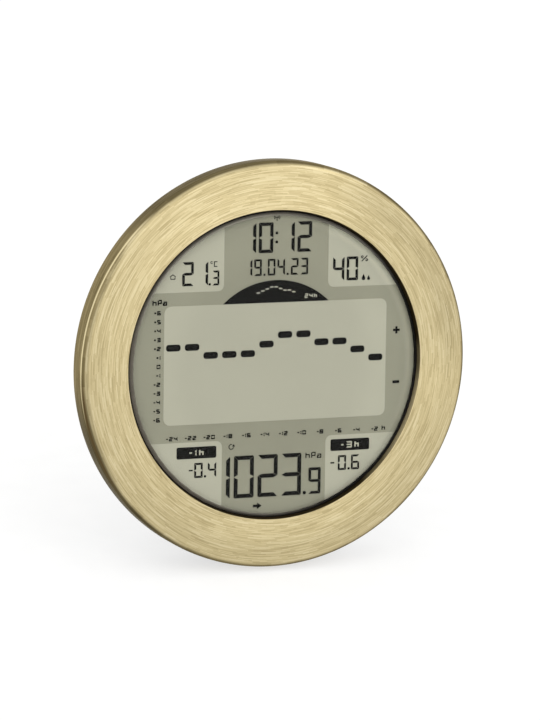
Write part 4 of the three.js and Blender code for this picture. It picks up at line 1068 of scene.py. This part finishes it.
def indoor_values():
    """Temperature 21.3 at the left and humidity 40 at the right, each with its unit."""
    shapes = rows(*INDOOR_ROWS)
    shapes.append(dot(*TEMPERATURE_POINT))
    shapes += [ribbon(arc(*ring), stroke) for ring, stroke in SIGN_RINGS]
    shapes.append(ribbon(*PERCENT_LINE))
    return shapes + write(*CELSIUS_UNIT)[0]


def pressure_values():
    """Pressure 1023.9 with its unit, and the changes over one and three hours."""
    shapes = rows(*PRESSURE_ROWS)
    shapes.append(dot(*PRESSURE_POINT))
    shapes += write(*PRESSURE_UNIT)[0]
    left, right, bottom, top = CHANGE_DASH
    for value, dash, first, point, last in CHANGES:
        shapes.append(box(dash + left, dash + right, bottom, top))
        shapes += rows(([("0", first), (value, last)], *CHANGE_DIGITS))
        shapes.append(dot(point, *CHANGE_POINT))
    return shapes


def drop_mark(x, z, size):
    right = arc(x, z, size, *DROP_RIGHT_TURN)[1:]
    left = arc(x, z, size, *DROP_LEFT_TURN)[:-1]
    return [*arc(x, z, size, *DROP_BOWL_TURN), *right, (x, z + size * DROP_TIP), *left]


def loop_mark(x, z, radius, stroke):
    """Round arrow, open at the upper right."""
    return [ribbon(arc(x, z, radius, *LOOP_TURN), stroke), at(x + radius, z, LOOP_HEAD)]


def plain_marks():
    """Pictograms where the photograph has words."""
    house = [ribbon(at(*HOUSE_PLACE, line), HOUSE_STROKE) for line in (HOUSE_ROOF, HOUSE_WALLS)]
    return [*house, *(drop_mark(*drop) for drop in DROPS), *loop_mark(*LOOP), TREND_ARROW]


def lozenge():
    """Flat segment of a circle over the panel."""
    radius = (LOZENGE_HALF ** 2 + LOZENGE_RISE ** 2) / (2 * LOZENGE_RISE)
    reach = math.degrees(math.asin(LOZENGE_HALF / radius))
    centre = LOZENGE_BOTTOM + LOZENGE_RISE - radius
    return [arc(LOZENGE_MIDDLE, centre, radius, 90 - reach, 90 + reach, LOZENGE_STEPS)]


def tag_marks():
    """Pale marks on the dark fields: the two spans of hours, and a stepped trace with its 24 hours."""
    shapes = [line for text, x, z in TAGS for line in write_centred(text, x, z, **TAG_TEXT)]
    shapes += write(*SPAN_UNIT)[0]
    places = [(TRACE_LEFT + TRACE_PITCH * index, level) for index, level in enumerate(TRACE_LEVELS)]
    return shapes + [box_at(*place, *TRACE_STEP) for place in places]


def add_artwork():
    dark = display_print("display_dark", rgb(15, 15, 12), 0.4)
    pale = display_print("display_pale", rgb(197, 196, 177))
    layers = [
        (LIGHT_LAYER, pale, {"display_blocks": light_shapes()}),
        (DARK_LAYER, dark, {
            "display_time": time_and_date(),
            "display_indoor": indoor_values(),
            "display_history": [box_at(x, z, *BAR_SIZE) for x, z in BARS],
            "display_scales": scale_numbers(),
            "display_pressure": pressure_values(),
            "display_marks": plain_marks(),
            "display_lozenge": lozenge(),
            "display_tags": [box_at(x, z, *TAG_SIZE) for _, x, z in TAGS],
        }),
        (TOP_LAYER, pale, {"display_tag_marks": tag_marks()}),
    ]
    for layer, material, groups in layers:
        for name, outlines in groups.items():
            add_piece(name, *prisms(outlines, layer, ARTWORK_SHIFT), "display_film", material)


# Prints on the back: pictograms under the keys, and an arrow on the door

KEY_PLACES = [-36, -18, 0, 18, 36]
KEY_MARK_LEVEL = 45.85
CLOCK_MARK = (1.1, 0.4)
CLOCK_TURNS = [(5, 175, 16), (185, 355, 16)]
CLOCK_HANDS = [(0, 0.55), (0, 0), (-0.45, 0)]
CLOCK_HAND_SHARE = 0.8
TRIANGLE_SIZE = 1.05
TRIANGLE_RISE = 0.8
TRACE_MARK = ((-1.6, -0.7), (-0.5, 0.1), (0.6, 0.7), (1.7, 0.1))
TRACE_MARK_STEP = (0.85, 0.5)
SIGNAL_MARK = (0.8, 0.3)
SIGNAL_ARCS = ((0.95, 1.7), 0.36, 8)
OPENER_HEAD = (0, 30.2, -1.5)
OPENER_STEM = (0, 33.2, 1.0, 3.2)


def clock_mark(x, z, radius, stroke):
    """Dial of two half rings with its hands."""
    rim = [ribbon(arc(x, z, radius, *turn), stroke) for turn in CLOCK_TURNS]
    hands = at(x, z, [(radius * across, radius * up) for across, up in CLOCK_HANDS])
    return [*rim, ribbon(hands, stroke * CLOCK_HAND_SHARE)]


def triangle(x, z, size):
    """Triangle that points up, or down for a negative size."""
    half = abs(size)
    rise = size * TRIANGLE_RISE
    return at(x, z, [(-half, -rise), (half, -rise), (0, rise)])


def key_marks():
    """Pictograms under the five keys: set, down, history, up and radio signal."""
    z = KEY_MARK_LEVEL
    clock, down, trace, up, signal = KEY_PLACES
    return [
        *clock_mark(clock, z, *CLOCK_MARK),
        triangle(down, z, -TRIANGLE_SIZE), triangle(up, z, TRIANGLE_SIZE),
        *(box_at(*place, *TRACE_MARK_STEP) for place in at(trace, z, TRACE_MARK)),
        dot(signal, z, *SIGNAL_MARK), *waves(signal, z, *SIGNAL_ARCS),
    ]


def add_back_prints():
    pale = moulded("print_grey", rgb(150, 150, 148), 0.6, grain=0.3, relief=0.004)
    opener = [triangle(*OPENER_HEAD), box_at(*OPENER_STEM)]
    add_piece("key_marks", *prisms(key_marks(), BACK_LAYER), "case_plastic", pale)
    add_piece("door_mark", *prisms(opener, BACK_LAYER), "case_plastic", pale, body="door")


# Finishes of the CAD nodes

KEYS = ["set_button", "down_button", "history_button", "up_button", "receive_button"]


def numbered(stem, count):
    return [f"{stem}_{index + 1}" for index in range(count)]


def dress_nodes():
    finishes = [
        # Black case: edges strongly lighter, as wear and a painted edge highlight
        (moulded("case_black", rgb(33, 32, 31), 0.5, grain=0.6, relief=0.025, edge_lift=2.6, edge=0.7),
         ["rear_cover", "battery_door", "stand_leg"]),
        (trim_black(), ["front_housing"]),
        (moulded("key_grey", rgb(58, 58, 58), 0.5, grain=0.3), KEYS),
        (moulded("inner_white", rgb(214, 211, 202), 0.5),
         ["lcd_backing_frame", "antenna_holder", "humidity_sensor"]),
        (moulded("sole_rubber", rgb(36, 36, 36), 0.85, grain=0.6, relief=0.05), ["stand_foot_pad"]),
        (moulded("contact_rubber", rgb(44, 44, 46), 0.8, grain=0.25),
         ["zebra_strip_top", "zebra_strip_bottom"]),
        (moulded("chip_resin", rgb(24, 25, 28), 0.55, grain=0.2, relief=0.015),
         ["controller_chip", "display_driver_chip", "reservoir_capacitor",
          *numbered("switch_plunger", 5)]),
        (clear_pane("lens_clear", (0.985, 0.985, 0.98, 1), 0.006), ["display_lens"]),
        (display_print("display_ground", rgb(165, 164, 145)), ["lcd_front_polariser"]),
        (display_print("display_glass", rgb(176, 184, 172), 0.15),
         ["lcd_front_glass", "lcd_rear_glass"]),
        (reflector_film(), ["lcd_reflector"]),
        (circuit_board(), ["main_pcb", "receiver_board"]),
        (bare_metal("screw_steel", rgb(176, 178, 182)),
         [*numbered("case_screw", 4), *numbered("board_screw", 4), *numbered("tact_switch", 5),
          "pressure_sensor", "stand_hinge_pin"]),
        (bare_metal("contact_nickel", rgb(204, 200, 188), 0.25),
         ["positive_contact", "negative_contact", "bridge_contact", "watch_crystal"]),
        (moulded("ferrite_grey", rgb(62, 60, 62), 0.6, grain=0.8, relief=0.03), ["ferrite_rod"]),
        (wound_copper(), ["antenna_coil"]),
        (cell_jacket("cell_jacket_upper", -28.6, 1), ["aa_cell_upper"]),
        (cell_jacket("cell_jacket_lower", 28.6, -1), ["aa_cell_lower"]),
        (moulded("lead_red", rgb(170, 40, 32), 0.45, grain=0.4), ["battery_lead_red"]),
        (moulded("lead_black", rgb(26, 26, 26), 0.45, grain=0.4), ["battery_lead_black"]),
    ]
    for material, names in finishes:
        for name in names:
            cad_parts[name].material_slots[0].material = material


def smoothing():
    """Geometry nodes that join split corners and shade curved sides smoothly."""
    group = bpy.data.node_groups.new("smooth_by_angle", "GeometryNodeTree")
    for way in ("INPUT", "OUTPUT"):
        group.interface.new_socket("Geometry", in_out=way, socket_type="NodeSocketGeometry")
    nodes = Nodes(group, prefix="")

    def shape(kind, before, inputs=(), **settings):
        return nodes.node(kind, {"Geometry": before, **dict(inputs)}, **settings).outputs[0]

    start = nodes.node("NodeGroupInput").outputs[0]
    plain = shape("GeometryNodeRemoveAttribute", start, {"Name": "custom_normal"})
    joined = shape("GeometryNodeMergeByDistance", plain, {"Distance": NODE_WELD})
    smooth = shape("GeometryNodeSetShadeSmooth", joined, domain="FACE")
    angle = nodes.node("GeometryNodeInputMeshEdgeAngle").outputs["Unsigned Angle"]
    angles = {"A": angle, "B": NODE_SHARP_ANGLE}
    sharp = nodes.node("FunctionNodeCompare", angles, operation="GREATER_THAN").outputs[0]
    edges = {"Selection": sharp, "Shade Smooth": False}
    nodes.node("NodeGroupOutput", {0: shape("GeometryNodeSetShadeSmooth", smooth, edges, domain="EDGE")})
    return group


def smooth_nodes():
    group = smoothing()
    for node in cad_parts.values():
        modifier = node.modifiers.new("smooth", "NODES")
        modifier.node_group = group


SCENE.view_settings.view_transform = "Standard"
add_camera()
add_world()
add_lamps()
add_floor()
add_ring()
add_artwork()
add_back_prints()
dress_nodes()
smooth_nodes()

bpy.context.view_layer.update()
